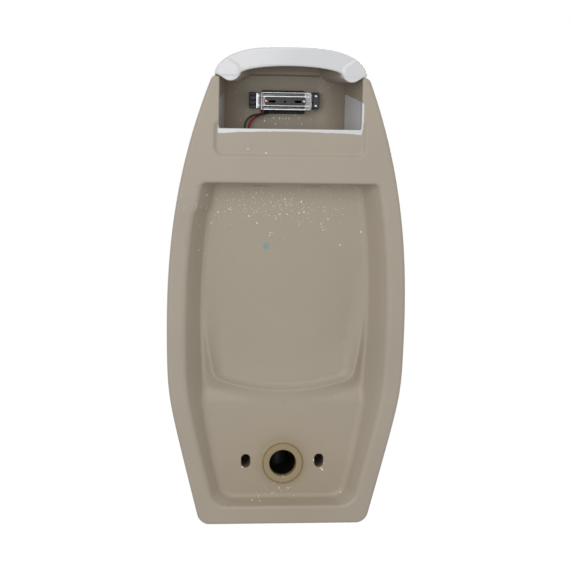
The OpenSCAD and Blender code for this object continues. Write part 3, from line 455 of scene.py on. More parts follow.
def china(x, y, z):
    """The whole body as one signed distance, negative inside the china."""
    h = z + outlet_h
    top_edge = top_r + top_more_r * ramp((y + top_turn_y) / top_turn)
    body = overlap(overlap(even(belly, x, y, z), -h, corner_r), h - body_h, top_edge)
    body = overlap(body, rear(x, y, z), edge_r)
    body = overlap(body, -hollow(x, y, z), rim_r)
    notch = box_rod(x, h - (notch_h + lip_h + notch_over) / 2, notch_w, lip_h + notch_over - notch_h, notch_r)
    runs_out = ramp((lip_h + notch_r - h) / 0.010)
    body = np.maximum(body, y + notch_depth * ramp(0.5 - notch / notch_ease) * runs_out)
    body = overlap(body, -chest(x, y, z), 0.0018)
    from_outlet, from_well, from_spud = np.hypot(x, z), np.hypot(x, y + well_y), np.hypot(x, y + spud_y)
    collar = rod(collar_d / 2, from_outlet, y + panel_depth - collar_t, -y - collar_deep)
    body = union(body, collar, collar_r)
    for radius, from_axis, low, high, edge in (
            (outlet_d / 2, from_outlet, y - past, -well_y - y, 0.002),
            (well_d / 2, from_well, -well_drop - z, h - bowl_floor_h - past, 0.001),
            (strainer_d / 2 + strainer_gap, from_well, bowl_floor_h - strainer_seat - h,
             h - bowl_floor_h - past, 0.001),
            (spud_hole_d / 2, from_spud, bowl_top_h - spud_low - h, h - chest_floor_h - past, 0.001),
            (nut_hole_d / 2, from_spud, bowl_top_h - spud_low - h, h - bowl_top_h, 0.001)):
        body = overlap(body, -rod(radius, from_axis, low, high), edge)
    slot = box_rod(np.abs(x) - slot_span / 2, z - slot_rise, slot_w, slot_h, slot_w / 2 - tiny)
    body = overlap(body, -np.maximum(slot, -slot_reach - y), 0.0015)
    plate = box_rod(x, h - sensor_h, face_w + 0.003, face_h + 0.003, 0.006)
    body = overlap(body, -np.maximum(plate, y + seat_y), 0.0008)
    housing = box_rod(x, h - sensor_h, housing_w + 0.002, housing_h + 0.002, 0.003)
    return overlap(body, -np.maximum(housing, y + chest_d - 0.005), 0.0008)


def crossings(shape, low, high, cell):
    """Points and triangles of a surface net: one point in each cell of a grid that the surface passes
    through, at the mean of its crossings of the cell's edges, and a face round each crossed edge."""
    axes = [np.arange(a, b + cell, cell) for a, b in zip(low, high)]
    field = shape(*np.meshgrid(*axes, indexing="ij"))
    size = np.array(field.shape)
    total, count, rounds = np.zeros((size.prod(), 3)), np.zeros(size.prod()), []
    for axis in range(3):
        u, v = (axis + 1) % 3, (axis + 2) % 3
        here = np.moveaxis(field, axis, 0)
        a, b = (np.moveaxis(part, 0, axis) for part in (here[:-1], here[1:]))
        hit = (a < 0) != (b < 0)
        index, a, b = np.argwhere(hit), a[hit], b[hit]
        place = index.astype(float)
        place[:, axis] += a / (a - b)
        corners = []
        for du, dv in ((0, 0), (1, 0), (1, 1), (0, 1)):
            cell_index = index.copy()
            cell_index[:, u] -= du
            cell_index[:, v] -= dv
            flat = np.ravel_multi_index(cell_index.T, size)
            count += np.bincount(flat, minlength=len(count))
            for k in range(3):
                total[:, k] += np.bincount(flat, place[:, k], minlength=len(count))
            corners.append(flat)
        quads = np.stack(corners, 1)
        rounds.append(np.where((a < 0)[:, None], quads, quads[:, ::-1]))
    used = np.flatnonzero(count)
    number = np.zeros(len(count), int)
    number[used] = np.arange(len(used))
    points = np.array(low) + cell * total[used] / count[used, None]
    quads = number[np.vstack(rounds)]
    across = [np.linalg.norm(points[quads[:, i]] - points[quads[:, i + 2]], axis=1) for i in (0, 1)]
    pick = np.where((across[0] <= across[1])[:, None], [[0, 1, 2, 0, 2, 3]], [[0, 1, 3, 1, 2, 3]])
    return points, np.take_along_axis(quads, pick, 1).reshape(-1, 3)


def onto(shape, points, limit, rounds):
    """Moves points along the shape's slope onto its surface, and returns them with their normals."""
    for _ in range(rounds):
        value, rise = slope(shape, *points.T)
        rise = np.stack(rise, 1)
        steep = np.sqrt((rise ** 2).sum(1)) + tiny
        points = points - rise * (np.clip(value / steep, -limit, limit) / steep)[:, None]
    rise = np.stack(slope(shape, *points.T)[1], 1)
    return points, rise / (np.linalg.norm(rise, axis=1)[:, None] + tiny)


def eased(points, normals, triangles):
    """Each point drawn towards the mean of its neighbours, along the surface only, and less where
    their normals turn from its own."""
    start, end = triangles.T.ravel(), np.roll(triangles, -1, 1).T.ravel()
    count = np.bincount(start)
    mean = np.stack([np.bincount(start, points[end, k]) / count for k in range(3)], 1)
    alike = np.bincount(start, (normals[start] * normals[end]).sum(1)) / count
    move = 0.5 * ramp((alike - 0.7) / 0.25)[:, None] * (mean - points)
    return points + move - normals * (move * normals).sum(1)[:, None]


def refined(points, normals, triangles, bend, shortest):
    """Splits each edge longer than shortest at its middle where the surface turns by more than bend,
    in radians, from end to end. A triangle becomes two, three or four."""
    ends = np.stack([triangles, np.roll(triangles, -1, 1)], -1)
    edges, which = np.unique(np.sort(ends.reshape(-1, 2), 1), axis=0, return_inverse=True)
    which = which.reshape(-1, 3)
    turn = (normals[edges[:, 0]] * normals[edges[:, 1]]).sum(1)
    long = np.linalg.norm(points[edges[:, 0]] - points[edges[:, 1]], axis=1) > shortest
    split = long & (turn < np.cos(bend))
    middle = np.full(len(edges), -1)
    middle[split] = len(points) + np.arange(split.sum())
    points = np.vstack([points, points[edges[split]].mean(1)])
    cut = split[which]
    parts = cut.sum(1)
    turned = np.select([parts == 1, parts == 2], [cut.argmax(1), (cut.argmin(1) + 1) % 3], 0)
    order = (np.arange(3)[None] + turned[:, None]) % 3
    a, b, c = np.take_along_axis(triangles, order, 1).T
    ab, bc, ca = middle[np.take_along_axis(which, order, 1)].T
    pieces = [triangles[parts == 0]]
    for number, corners in (
            (1, [(a, ab, c), (ab, b, c)]),
            (2, [(ab, b, bc), (a, ab, bc), (a, bc, c)]),
            (3, [(a, ab, ca), (ab, b, bc), (ca, bc, c), (ab, bc, ca)])):
        pieces += [np.stack(corner, 1)[parts == number] for corner in corners]
    return points, np.vstack(pieces)


def cast(name, shape, low, high, cell):
    """A mesh object of a shape's closed skin, with its points and normals: a surface net, moved onto
    the surface, eased along it, split twice where it bends, and shaded by the shape's own slope."""
    points, triangles = crossings(shape, low, high, cell)
    points, normals = onto(shape, points, cell / 2, 4)
    for _ in range(2):
        points, normals = onto(shape, eased(points, normals, triangles), cell / 4, 2)
    for level in range(2):
        points, triangles = refined(
            points, normals, triangles, bend=0.28, shortest=cell / 2.2 / 1.7 ** level)
        points, normals = onto(shape, points, cell / 4, 2)
    piece = put(name, points, triangles)
    piece.data.normals_split_custom_set_from_vertices(normals.tolist())
    return piece, points, normals


def mark(piece, name, values):
    """Keeps a number for each point of a piece, for its material."""
    piece.data.attributes.new(name, "FLOAT", "POINT").data.foreach_set("value", values.astype(np.float32))


def reading(tree, name):
    """The numbers that mark left on a piece."""
    return node(tree, "Attribute", {}, attribute_name=name)["Fac"]


def sum_of(tree, a, b, factor=1.0):
    """One socket plus another times a factor."""
    return node(tree, "Math", {0: b, 1: factor, 2: a}, operation="MULTIPLY_ADD")["Value"]


# The last of these colours is painted shade: near black, for deep in the outlet's bore, the well and the
# fixing slots.
bare_clay, warm_clay, bore_shade_colour = (0.400, 0.352, 0.285), (0.350, 0.285, 0.205), (0.004, 0.003, 0.002)
glaze_white = (0.680, 0.688, 0.708)


def spot(tree, place, full, gone, wander):
    """1 within full metres of a place, measured across and up, and 0 beyond gone, its edge uneven."""
    point, middle = node(tree, "TexCoord", {})["Object"], (-place[0], 0, -place[1])
    flat = node(tree, "VectorMath", {0: point, 1: (1, 0, 1), 2: middle}, operation="MULTIPLY_ADD")["Vector"]
    length = node(tree, "VectorMath", {0: flat}, operation="LENGTH")["Value"]
    return spread(tree, sum_of(tree, length, noise(tree, 500, 2), wander), gone, full)


def china_finish(name, spots=()):
    """Glossy, faintly rippled white glaze on mottled beige clay. The mark glaze is the distance inside
    the glaze's edge, warmth the share of warmer clay, depths the distance inside a bore or slot,
    where near-black shade is painted."""
    material, tree, feed = paint(name, bare_clay, 0.5)
    wander, cloud, grain = noise(tree, 90, 3), noise(tree, 7, 4, 0.6), noise(tree, 700, 2)
    edge = sum_of(tree, reading(tree, "glaze"), wander, 0.003)
    glazed = spread(tree, edge, 0.0012, 0.0018)
    clay = blend(tree, spread(tree, cloud, 0.35, 0.7), bare_clay, darker(bare_clay, 0.93))
    clay = blend(tree, reading(tree, "warmth"), clay, warm_clay)
    clay = blend(tree, spread(tree, grain, 0.62, 0.72, 0, 0.25), clay, darker(bare_clay, 0.6))
    for place, full, gone, wander, colour in spots:
        clay = blend(tree, spot(tree, place, full, gone, wander), clay, colour)
    # Painted shade: near black deep in the bore, the well and the slots.
    clay = blend(tree, spread(tree, reading(tree, "bore_shade"), -0.0005, 0.0015), clay, bore_shade_colour)
    feed("Base Color", blend(tree, glazed, clay, glaze_white))
    feed("Roughness", spread(tree, glazed, 0, 1, 0.46, 0.09))
    feed("Normal", bump(tree, sum_of(tree, noise(tree, 260, 3), glazed, 0.8), 0.25, 0.00012))
    return material


body, points, _ = cast(
    "china_body", china, (-0.185, -0.340, -0.098), (0.185, 0.012, 0.583), 0.005)
x, y, z = points.T
glaze_t, glaze_y, wall_low_z, wall_high_z, wall_slant, wall_y = 0.006, -0.005, 0.491, 0.537, 0.12, -0.086
bare_w, lip_low_z, lip_high_z, lip_sag, lip_y, lip_half = 0.010, 0.4945, 0.5015, 0.35, -0.020, 0.1045
shell = glaze_t - np.abs(even(belly, x, y, z))
inside = glaze_t - np.abs(hollow(x, y, z))
on_wall = glaze_t / 2 - np.abs(chest(x, y, z))
walls = np.minimum.reduce([z - wall_low_z, wall_high_z - wall_slant * y - z, y - wall_y, on_wall])
walls = np.minimum(walls, np.where(x > 0, -bare_w - y, bare_w) + np.maximum(0, 0.500 - z))
lip = np.minimum.reduce([z - lip_low_z + lip_sag * x * x, lip_high_z - z, y - lip_y, lip_half - np.abs(x)])
mark(body, "glaze", np.maximum.reduce([np.minimum(shell, glaze_y - y), inside, walls, lip]))
# Warmer, darker clay on surfaces more than 8 mm in from the wall plane, and most round the outlet.
stain_w, stain_h, stain_z = 0.095, 0.07, -0.01
round_outlet = np.exp(-((x / stain_w) ** 2 + ((z - stain_z) / stain_h) ** 2)) * (y > -0.07)
mark(body, "warmth", np.clip(0.28 * ramp((-y - 0.008) / 0.010) + 0.55 * round_outlet, 0, 1))
# Painted shade: the outlet's bore past 29 mm, the well and the fixing slots are marked to turn near black, as
# shade falls deep in them.
dark_r, dark_y, well_dark_r, well_dark_z = 0.0215, -0.0290, 0.0290, -0.058
bore = dark_r - np.hypot(x, z)
well = well_dark_r - np.hypot(x, y + well_y) + np.minimum(0, well_dark_z - z)
slit = 0.0005 - box_rod(np.abs(x) - slot_span / 2, z - slot_rise, slot_w, slot_h, slot_w / 2 - tiny)
mark(body, "bore_shade", np.maximum(np.minimum(np.maximum(bore, slit), dark_y - y), well))


nearest, farthest, ray_step, halvings = 2.20, 2.46, 0.002, 10
drop_rise, drop_sides, drop_rings, drop_miss = 0.45, 10, 6, 0.0005


def seen_at(pixels):
    """Where the camera sees the china at places of the photograph, and the slope there: it steps
    along each ray until the distance turns negative, and halves the last step."""
    across, down = np.asarray(pixels, float).T
    rays = (ahead + np.outer((across - frame_pixels / 2) / focal_pixels, right)
            - np.outer((down - frame_pixels / 2) / focal_pixels, up))
    steps = np.arange(nearest, farthest, ray_step)
    along = camera_place[:, None, None] + rays.T[:, :, None] * steps
    below = china(*along) < 0
    far = steps[np.where(below.any(1), below.argmax(1), -1)]
    near = far - ray_step
    for _ in range(halvings):
        middle = (near + far) / 2
        inside = china(*(camera_place[:, None] + rays.T * middle)) < 0
        near, far = np.where(inside, near, middle), np.where(inside, middle, far)
    points = camera_place + rays * far[:, None]
    return points, at_length_1(np.stack(slope(china, *points.T)[1], 1))


def droplets(name, pixels, radii, finish):
    """Drops of glaze on the china: flattened balls, half sunk in it. A place where the camera sees past
    the china gets none."""
    middles, normals = seen_at(pixels)
    met = np.abs(china(*middles.T)) < drop_miss
    middles, normals, radii = middles[met], normals[met], radii[met]
    over = at_length_1(np.cross(normals, [1.0, 0, 0]))
    across = np.cross(over, normals)
    turn = 2 * np.pi * np.arange(drop_sides) / drop_sides
    tilt = (np.pi * np.arange(1, drop_rings) / drop_rings)[:, None]
    ring = np.stack([np.sin(tilt) * np.cos(turn), np.sin(tilt) * np.sin(turn),
                     drop_rise * np.cos(tilt) + 0 * turn], -1)
    points, faces = [], []
    for middle, u, v, n, radius in zip(middles, across, over, normals, radii):
        skin_points, skin_faces = lofted(middle + radius * (ring @ np.stack([u, v, n])))
        faces += [[k + len(points) * len(skin_points) for k in face] for face in skin_faces]
        points.append(skin_points)
    piece = put(name, np.vstack(points), faces)
    piece.data.materials.append(finish)
    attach(piece, "china")


dot_pixel = (266, 246)
(dot,), _ = seen_at([dot_pixel])
outlet_tint, ink = (0.300, 0.232, 0.130), (0.215, 0.315, 0.310)
halo_tint = tuple(0.5 * (a + b) for a, b in zip(outlet_tint, warm_clay))
settle(body, "china", "ceramic_body", china_finish("china_body", [
    ((0, 0.002), 0.027, 0.050, 0.006, halo_tint),
    ((0, 0), collar_d / 2, collar_d / 2 + 0.003, 0.0, outlet_tint),
    ((dot[0], dot[2]), 0.0062, 0.0095, 0.006, ink)]))

# Drops of glaze that spattered on the bare back in the spray booth, each about as wide as a grain of
# rice or less: the larger ones one by one, the finest as a scatter in the bands where they fell.
large_drops = [
    (207, 195), (218, 212), (229, 209), (249, 216), (257, 223), (211, 223), (271, 202), (276, 218),
    (280, 214), (287, 214), (299, 213), (301, 202), (285, 199), (304, 212), (253, 197), (328, 219),
    (269.6, 235.5), (270.4, 232.8), (321, 224), (322, 227), (323, 230), (340, 245), (361, 232),
    (199, 250), (252, 500), (260, 500.5), (279, 488), (288, 488), (272, 493), (340.6, 492),
    (313.4, 460), (316.4, 456), (320.6, 468), (321.8, 469), (322.6, 470), (283, 476), (323.4, 463),
    (242.6, 467), (248, 149), (266, 153), (264.5, 118.2), (264.7, 121), (273.5, 118), (279.5, 118.5),
    (282.7, 118.5), (285.7, 118.5), (289, 118.5), (298.5, 118.2), (275.5, 124), (302, 124),
    (303.5, 68.4), (308, 68.3), (313, 68.6)]
fine_drops = [((265, 206), (46, 9), 240), ((276, 489), (14, 6), 24), ((238, 104), (7, 12), 30),
              ((330, 82), (5, 9), 26), ((280, 120), (18, 4), 24), ((205, 215), (5, 16), 14)]
chance = np.random.default_rng(11)
scatter = np.vstack([chance.normal(middle, width, (count, 2)) for middle, width, count in fine_drops])
pixels = np.vstack([large_drops, scatter])
radii = np.concatenate([chance.uniform(0.0008, 0.0013, len(large_drops)),
                        chance.uniform(0.00025, 0.0006, len(scatter))])
glaze_drop, _, _ = paint("glaze_drop", (0.92, 0.92, 0.88), 0.12)
droplets("glaze_drops", pixels, radii, glaze_drop)

# Cover: the same china, pressed as a shallow dome and glazed all over but for its foot. An arch is
# cut in its rear edge, and two lobes under it drop between the chest's side walls.
cover_z, cover_rise, cover_t, top_n, dome_n, side_n, rise_n = 0.5742, 0.0405, 0.012, 3.0, 2.5, 3.0, 1.9
cover_w, cover_d, cover_edge_r, bead_t, bead_in, bead_turn = 0.2195, 0.130, 0.0025, 0.00115, 0.004, 0.002
arch_w, arch_high, arch_edge_r, lobe_edge_r, lobe_short = 0.150, 0.0135, 0.003, 0.002, 0.004
lobe_r, lobe_dip, lobe_gap, lobe_lean = 0.014, 0.0088, 0.001, 1.6


def half_dome(x, y, z, w, d, rise):
    """A superellipse in plan whose power falls from top_n to dome_n, drawn in to nothing at its rise
    by the powers side_n across and rise_n upward."""
    up = np.maximum(0, z / rise)
    n = top_n - (top_n - dome_n) * np.minimum(1, up)
    across = ((np.abs(x) / w) ** n + (np.maximum(0, -y) / d) ** n + tiny) ** (1 / n)
    return (across ** side_n + up ** rise_n + tiny) ** (1 / side_n) - 1


def dome(x, y, z, t):
    """The dome as a distance, drawn in on all sides by a wall of thickness t."""
    w, d, rise = cover_w / 2 - t, cover_d - 2 * t, cover_rise - t
    return even(lambda x, y, z: half_dome(x, y, z, w, d, rise), x, y + t, z)


def lobe(x, y, z):
    """A rail on each side: two joined circles that run forward and inward under the cover."""
    rear = window_w / 2 - lobe_gap - lobe_r
    front = chest_front_w / 2 - lobe_gap - lobe_r - lobe_short
    middle = rear + (front - rear) * np.clip(-y / (chest_d - chest_r - lobe_short), 0, 1)
    a, b = np.abs(x) - middle, z - (lobe_r - lobe_dip)
    lift = lobe_dip + lobe_gap
    along = np.clip((lobe_lean * a + b) / (lobe_lean ** 2 + 1) / lift, 0, 1) * lift
    return np.hypot(a - lobe_lean * along, b - along) - lobe_r


def cover(x, y, z):
    """The whole cover as one signed distance."""
    z = z - cover_z
    outer = dome(x, y, z, 0)
    foot = -z - bead_t * ramp((-outer - bead_in) / bead_turn)
    body = overlap(overlap(outer, foot, cover_edge_r), y, cover_edge_r)
    body = overlap(body, -np.maximum(dome(x, y, z, cover_t), y + cover_t), 0.002)
    arch = even(lambda x, y, z: (2 * x / arch_w) ** 2 + (np.maximum(0, z) / arch_high) ** 2 - 1, x, y, z)
    body = overlap(body, -np.maximum(arch, -y - cover_t - arch_edge_r), arch_edge_r)
    rails = overlap(lobe(x, y, z), np.maximum(y, -y - chest_d + chest_r + 0.003), lobe_edge_r)
    rails = overlap(rails, np.minimum(outer + lobe_edge_r, z), 0.001)
    return union(body, rails, lobe_edge_r)


lid, points, normals = cast(
    "cover_dome", cover, (-0.121, -0.138, cover_z - 0.012), (0.121, 0.006, cover_z + 0.048),
    0.003)
x, y, z = points.T
foot_glaze, glaze_lean = 0.001, 0.55
under = np.maximum(z - cover_z - foot_glaze, glaze_t * (normals[:, 2] + glaze_lean))
inside = dome(x, y, z - cover_z, cover_t) - foot_glaze
mark(lid, "glaze", np.minimum(under, np.where(y < -cover_t, inside, 0.01)))
mark(lid, "warmth", 0 * x)
# The cover gets none of the painted shade.
mark(lid, "bore_shade", 0 * x - 1)
settle(lid, "cover", "top_cover", china_finish("white_china"))

# Cover pads: four thin round pads of soft rubber, stuck on the chest's rim, so that the loose cover
# doesn't grate on the china. Two lie beside the rear edge and two near the front.
pad_x, pad_y, front_pad_x, front_pad_y, pad_r, pad_t = 0.1060, -0.018, 0.044, -0.1235, 0.003, 0.0012
coarse = 1.0


def moulded(name, colour, roughness, grain, depth):
    """Moulded plastic, rubber or foam: an even grain and faint, paler scuffs, and painted shade, near
    black and without reflection, where the mark pit is."""
    material, tree, feed = paint(name, colour, roughness)
    fine, scuff, pit_shade = noise(tree, grain, 2), noise(tree, 120, 4, 0.6), reading(tree, "pit_shade")
    wear_and_highlight = blend(tree, spread(tree, scuff, 0.45, 0.75), colour, tuple(1.7 * c + 0.004 for c in colour))
    # Painted shade: near black and without reflection where the pits are marked.
    feed("Base Color", blend(tree, pit_shade, wear_and_highlight, (0.001, 0.001, 0.001)))
    feed("Specular IOR Level", spread(tree, pit_shade, 0, 1, 0.5, 0))
    feed("Roughness", spread(tree, scuff, 0.3, 0.7, 1.2 * roughness, 0.8 * roughness))
    feed("Normal", bump(tree, fine, 0.6, depth))
    return material


def pads(x, y, z):
    """All four pads, as round bars between the rim and the cover's foot."""
    from_axis = np.minimum(np.hypot(np.abs(x) - pad_x, y - pad_y),
                           np.hypot(np.abs(x) - front_pad_x, y - front_pad_y))
    return overlap(from_axis - pad_r, np.abs(z - cover_z + pad_t / 2) - pad_t / 2, 0.0003)


rests, _, _ = cast(
    "rubber_rests", pads, (-0.110, -0.128, cover_z - 0.002), (0.110, -0.014, cover_z + 0.001),
    0.0007 * coarse)
settle(rests, "china", "cover_pads",
       moulded("black_rests", (0.012, 0.012, 0.013), 0.55, 1000, 0.00004))

# Sensor unit: a moulded case clamped to the front wall by a pressed, nickel-plated tray, with a foam
# pad between. The case's back shows in the tray, with two slots, a small hole and two screws of
# unlike plating. A rubber end pad and a cable clip with two screws close its ends.
sensor_z = sensor_h - outlet_h
tray_x, tray_w, tray_h, tray_r, tray_near, foam_near = -0.0025, 0.076, 0.027, 0.0022, 0.0958, 0.115
mouth_w, mouth_h, mouth_corner, mouth_near = 0.0736, 0.0246, 0.0012, 0.0970
opening_x, opening_w, opening_h = -0.0015, 0.0605, 0.012
lug_x, lug_w, lug_h, lug_near = -0.0013, 0.0842, 0.022, 0.1126
band_z, band_w, band_deep, end_x, end_w, end_high = 0.0098, 0.0014, 0.0008, 0.0364, 0.0010, 0.0012
lead_mid_x, lead_half, lead_y, lead_hole_r = 0.026, 0.004, -0.108, 0.0018
pit_x, pit_z, pit_w, pit_h, pit_r, pit_floor = 0.0193, -0.0006, 0.0100, 0.0034, 0.0015, 0.0984
case_near, case_far, rib_z, rib_t, rib_half, rib_near = 0.0970, 0.1312, 0.0042, 0.0008, 0.024, 0.0966
case_screw_x, case_screw_half = -0.0014, 0.0288
clip_screw_x, clip_screw_z, clip_screw_half = -0.0483, 0.00075, 0.00725
block_z, block_h, block_near, block_far, pad_mid_x, clip_x = 0.0008, 0.0235, 0.1010, 0.1178, 0.046, -0.0487
foam_z, foam_w, foam_h, foam_swell, foam_in_w, foam_in_h = -0.002, 0.066, 0.035, 0.0012, 0.065, 0.023


def plate(x, y, z, w, h, corner, near, far, edge):
    """A flat block upright across the chest, between two depths, its outline's corners rounded."""
    thick = np.abs(y + (near + far) / 2) - (far - near) / 2
    return overlap(box_rod(x, z, w, h, corner), thick, edge)


def tray(x, y, z):
    """Pressed sheet: a box open in front, its back pressed in along two bands and out at its ends,
    cut open in the middle, with a flange at its mouth and two holes for the leads."""
    up = z - sensor_z
    bands = band_deep * np.exp(-((np.abs(up) - band_z) / band_w) ** 2) * ramp((0.032 - np.abs(x)) / 0.002)
    ends = end_high * np.exp(-((np.abs(x - tray_x) - end_x) / end_w) ** 2)
    y = y + (bands - ends) * (y > -0.104)
    mouth = box_rod(x - tray_x, up, mouth_w, mouth_h, mouth_corner)
    whole = plate(x - tray_x, y, up, tray_w, tray_h, tray_r, tray_near, foam_near, 0.0008)
    whole = overlap(whole, -np.maximum(mouth, y + mouth_near), 0.0003)
    whole = overlap(whole, -box_rod(x - opening_x, up, opening_w, opening_h, tray_r), 0.0004)
    flange = plate(x - lug_x, y, up, lug_w, lug_h, 0.001, lug_near, foam_near, 0.0004)
    holes = np.hypot(np.abs(x - lead_mid_x) - lead_half, y - lead_y) - lead_hole_r
    return overlap(union(whole, np.maximum(flange, -mouth), 0.0006), -np.maximum(holes, up + 0.010), 0.0003)


def pits(x, y, z):
    """The two slots and the small hole in the case's back, as bars along Y."""
    x, up = x - opening_x, z - sensor_z - pit_z
    return np.minimum(box_rod(np.abs(x) - pit_x, up, pit_w, pit_h, pit_r), np.hypot(x, up) - pit_r)


def case(x, y, z):
    """The moulded case: a long block, its back with the pits and a rib above and below them."""
    up = z - sensor_z
    whole = plate(x, y, up, housing_w, housing_h, 0.0025, case_near, case_far, 0.0006)
    whole = overlap(whole, -np.maximum(pits(x, y, z), -y - pit_floor), 0.0002)
    rib = np.maximum(np.abs(np.abs(up) - rib_z) - rib_t / 2, np.maximum(y + rib_near, np.abs(x) - rib_half))
    return union(whole, np.maximum(rib, -y - case_near - 0.0005), 0.0002)


def screw(x, z, y, top, width, high, groove_w):
    """A pan head, crowned by 0.35 of its radius, with a cross recess, its top towards the wall."""
    from_axis = np.hypot(x, z)
    dome_top = y + top + 0.35 * from_axis ** 2 / (width / 2)
    head = overlap(from_axis - width / 2, np.maximum(dome_top, -y - top - high), 0.0003)
    cross = np.maximum(np.minimum(np.abs(x), np.abs(z)) - groove_w / 2, from_axis - 0.32 * width)
    return np.maximum(head, -np.maximum(cross, -y - top - 0.0007))


def case_screws(x, y, z):
    """The two screws in the case's back."""
    across = np.abs(x - case_screw_x) - case_screw_half
    return screw(across, z - sensor_z, y, top=0.0944, width=0.0060, high=0.0018, groove_w=0.0009)


def clip_heads(x, y, z):
    """The two screws in the cable clip."""
    up = np.abs(z - sensor_z - clip_screw_z) - clip_screw_half
    return screw(x - clip_screw_x, up, y, top=0.0994, width=0.0050, high=0.0016, groove_w=0.0008)


def pad_block(x, y, z):
    """The end pad: a rubber block with three grooves across its back."""
    up = z - sensor_z - block_z
    whole = plate(x - pad_mid_x, y, up, 0.010, block_h, 0.0022, block_near, block_far, 0.0010)
    rills = np.hypot(np.minimum(np.abs(up), np.abs(np.abs(up) - 0.007)), y + 0.1008) - 0.0010
    return overlap(whole, -rills, 0.0004)


def clip_block(x, y, z):
    """The cable clip: a moulded block with a shallow step round its edge."""
    x, up = x - clip_x, z - sensor_z - block_z
    whole = plate(x, y, up, 0.0094, block_h, 0.0020, block_near, block_far, 0.0009)
    return union(whole, plate(x, y, up, 0.0106, 0.0247, 0.0024, 0.1060, block_far, 0.0006), 0.0004)


def foam(x, y, z):
    """The foam pad, with a hole for the case, swelling a little where it isn't pressed."""
    up = z - sensor_z
    swell = foam_swell * ramp(box_rod(x, up, 0.073, 0.029, 0.002) / 0.002)
    whole = plate(x, y - swell, up - foam_z, foam_w, foam_h, 0.003, foam_near, block_far, 0.0012)
    return overlap(whole, -box_rod(x, up, foam_in_w, foam_in_h, 0.001), 0.0005)


def metal(name, colour, roughness, scratch=(600, 600, 600)):
    """Plated metal: smudged, finely scratched along its length, faintly wavy, and painted near white
    where the mark worn is, as painted highlights."""
    material, tree, feed = paint(name, colour, roughness, Metallic=1.0)
    lines, smudge, wave = noise(tree, 1, 3, 0.6, scratch), noise(tree, 60, 4, 0.6), noise(tree, 150, 2)
    dull = blend(tree, spread(tree, smudge, 0.35, 0.7), colour, darker(colour, 0.72))
    # Painted highlight: near-white colour where the mark is set.
    feed("Base Color", blend(tree, reading(tree, "wear_and_highlight"), dull, (0.88, 0.88, 0.90)))
    uneven = sum_of(tree, lines, smudge)
    feed("Roughness", spread(tree, uneven, 0.6, 1.3, 0.6 * roughness, 1.6 * roughness))
    feed("Normal", bump(tree, sum_of(tree, wave, lines, 0.15), 0.5, 0.00002))
    return material


def two_screws():
    """Copper plating on one screw, which the mark pale turns to zinc on the other."""
    copper, zinc = (0.62, 0.37, 0.27), (0.50, 0.47, 0.38)
    material, tree, feed = paint("screw_plating", copper, 0.32, Metallic=1.0)
    feed("Base Color", blend(tree, reading(tree, "pale"), copper, zinc))
    feed("Normal", bump(tree, noise(tree, 1500, 3), 0.4, 0.00002))
    return material


# Each row: piece, shape, CAD node, slot; middle and size of its box across and deep, then upward; cell;
# finish.
unit = [
    ("pressed_tray", tray, "clamp_tray", "bright_steel",
     (-0.0010, 0.1050), (0.088, 0.022), (0, 0.030), 0.00075,
     metal("nickel_plate", (0.24, 0.247, 0.262), 0.20, (40, 900, 900))),
    ("sensor_case", case, "sensor_housing", "black_plastic",
     (0, 0.1140), (0.067, 0.038), (0, 0.025), 0.0007,
     moulded("black_case", (0.013, 0.014, 0.016), 0.30, 1400, 0.00003)),
    ("case_heads", case_screws, "housing_screws", "copper_screw",
     (-0.0018, 0.0958), (0.069, 0.005), (0, 0.008), 0.00032, two_screws()),
    ("clip_screw_heads", clip_heads, "clip_screws", "steel_screw",
     (-0.0483, 0.1000), (0.007, 0.005), (0.00075, 0.022), 0.00032,
     metal("zinc_plate", (0.74, 0.74, 0.74), 0.22)),
    ("rubber_pad", pad_block, "end_pad", "black_plastic",
     (0.046, 0.1095), (0.013, 0.020), (0.0008, 0.026), 0.0006,
     moulded("black_rubber_block", (0.014, 0.015, 0.020), 0.5, 900, 0.00005)),
    ("clip_body", clip_block, "cable_clip", "black_plastic",
     (-0.0487, 0.1095), (0.014, 0.020), (0.0008, 0.028), 0.0006,
     moulded("black_clip", (0.013, 0.013, 0.016), 0.35, 1200, 0.00004)),
    ("foam_strip", foam, "foam_pad", "grey_foam",
     (0, 0.1160), (0.070, 0.008), (-0.002, 0.039), 0.0007,
     moulded("grey_green_foam", (0.040, 0.045, 0.041), 0.85, 700, 0.00012))]
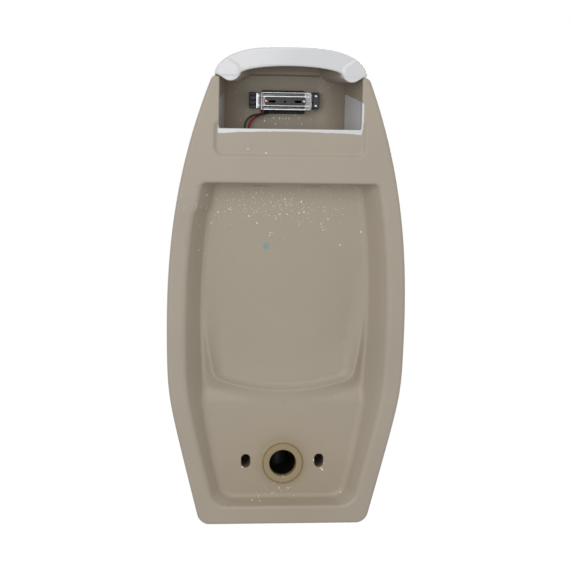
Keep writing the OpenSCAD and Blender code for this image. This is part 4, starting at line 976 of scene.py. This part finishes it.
for name, shape, cad_node, slot, (x, y), (w, d), (z, h), cell, finish in unit:
    low = (x - w / 2, -y - d / 2, sensor_z + z - h / 2)
    high = (x + w / 2, -y + d / 2, sensor_z + z + h / 2)
    piece, points, _ = cast(name, shape, low, high, cell * coarse)
    if cad_node == "housing_screws":
        mark(piece, "pale", (points[:, 0] < 0) * 1.0)
    # Painted highlights: bright lines along the tray's pressed-out ends, two lines along its length on each
    # side, and the ends of the flange's lugs.
    if cad_node == "clamp_tray":
        along, up = np.abs(points[:, 0] - tray_x), np.abs(points[:, 2] - sensor_z)
        lug_highlights = (points[:, 1] < -0.111) * (np.abs(points[:, 0] - lug_x) > 0.0400)
        painted_highlights = sum(share * np.exp(-((across - place) / width) ** 2) for share, across, place, width in (
            (1, along, end_x, 0.0008), (0.5, up, 0.0126, 0.0007), (0.5, up, 0.0068, 0.0006)))
        mark(piece, "wear_and_highlight", np.clip(painted_highlights + lug_highlights, 0, 1))
    # Painted shade: the case's two slots and small hole turn near black, without reflection.
    if cad_node == "sensor_housing":
        mark(piece, "pit_shade", np.clip(0.5 - pits(*points.T) / 0.0005, 0, 1) * (points[:, 1] > -0.102))
    settle(piece, "china", cad_node, finish)

# Fittings: what keeps its CAD shape, such as the valve, the spud, the strainer, the trap tube and the
# sensor's front. They are turned brass, chromed or plain steel, rubber and moulded plastic.
def plain(name, colour, roughness, metallic=0.0, grain=300):
    """A moulded, cast or turned finish: fine grain in its roughness, faint smudges in its colour, and
    edges that are eased in the shading."""
    material, tree, feed = paint(name, colour, roughness, Metallic=metallic)
    smudge, fine = noise(tree, 40, 3), noise(tree, grain, 3)
    feed("Base Color", blend(tree, spread(tree, smudge, 0.4, 0.7), colour, darker(colour, 0.86)))
    feed("Roughness", spread(tree, fine, 0.3, 0.7, roughness * 0.8, roughness * 1.25))
    feed("Normal", node(tree, "Bevel", {"Radius": 0.0004})["Normal"])
    return material


finishes = {slot: plain(slot, *values) for slot, *values in (
    ("black_rubber", (0.012, 0.012, 0.012), 0.7),
    ("bright_chrome", (0.78, 0.79, 0.80), 0.12, 1.0, 900),
    ("smoked_window", (0.010, 0.006, 0.012), 0.06),
    ("green_board", (0.01, 0.10, 0.035), 0.4),
    ("dark_lamp", (0.03, 0.015, 0.04), 0.1),
    ("cell_steel", (0.60, 0.60, 0.61), 0.3, 1.0),
    ("bright_steel", (0.66, 0.67, 0.69), 0.2, 1.0, 900),
    ("steel_screw", (0.58, 0.58, 0.59), 0.3, 1.0),
    ("yellow_brass", (0.70, 0.48, 0.18), 0.3, 1.0),
    ("grey_nylon", (0.09, 0.10, 0.11), 0.5),
    ("dull_steel", (0.40, 0.41, 0.42), 0.4, 1.0),
    ("coil_plastic", (0.02, 0.03, 0.09), 0.45))}
# The trap tube is white plastic, but it gets a near-black finish: painted shade, as it lies deep in the
# outlet where little light reaches.
finishes["white_plastic"] = plain("trap_painted_shade", (0.035, 0.035, 0.034), 0.45)
done = {"ceramic_body", "top_cover", "cover_pads", "red_lead", "black_lead"} | {row[2] for row in unit}
for subpart in frame["record"]["subparts"]:
    if subpart["node"] not in done:
        mesh = frame["nodes"][subpart["node"]].data
        mesh.materials.clear()
        mesh.materials.append(finishes[subpart["material_slot"]])
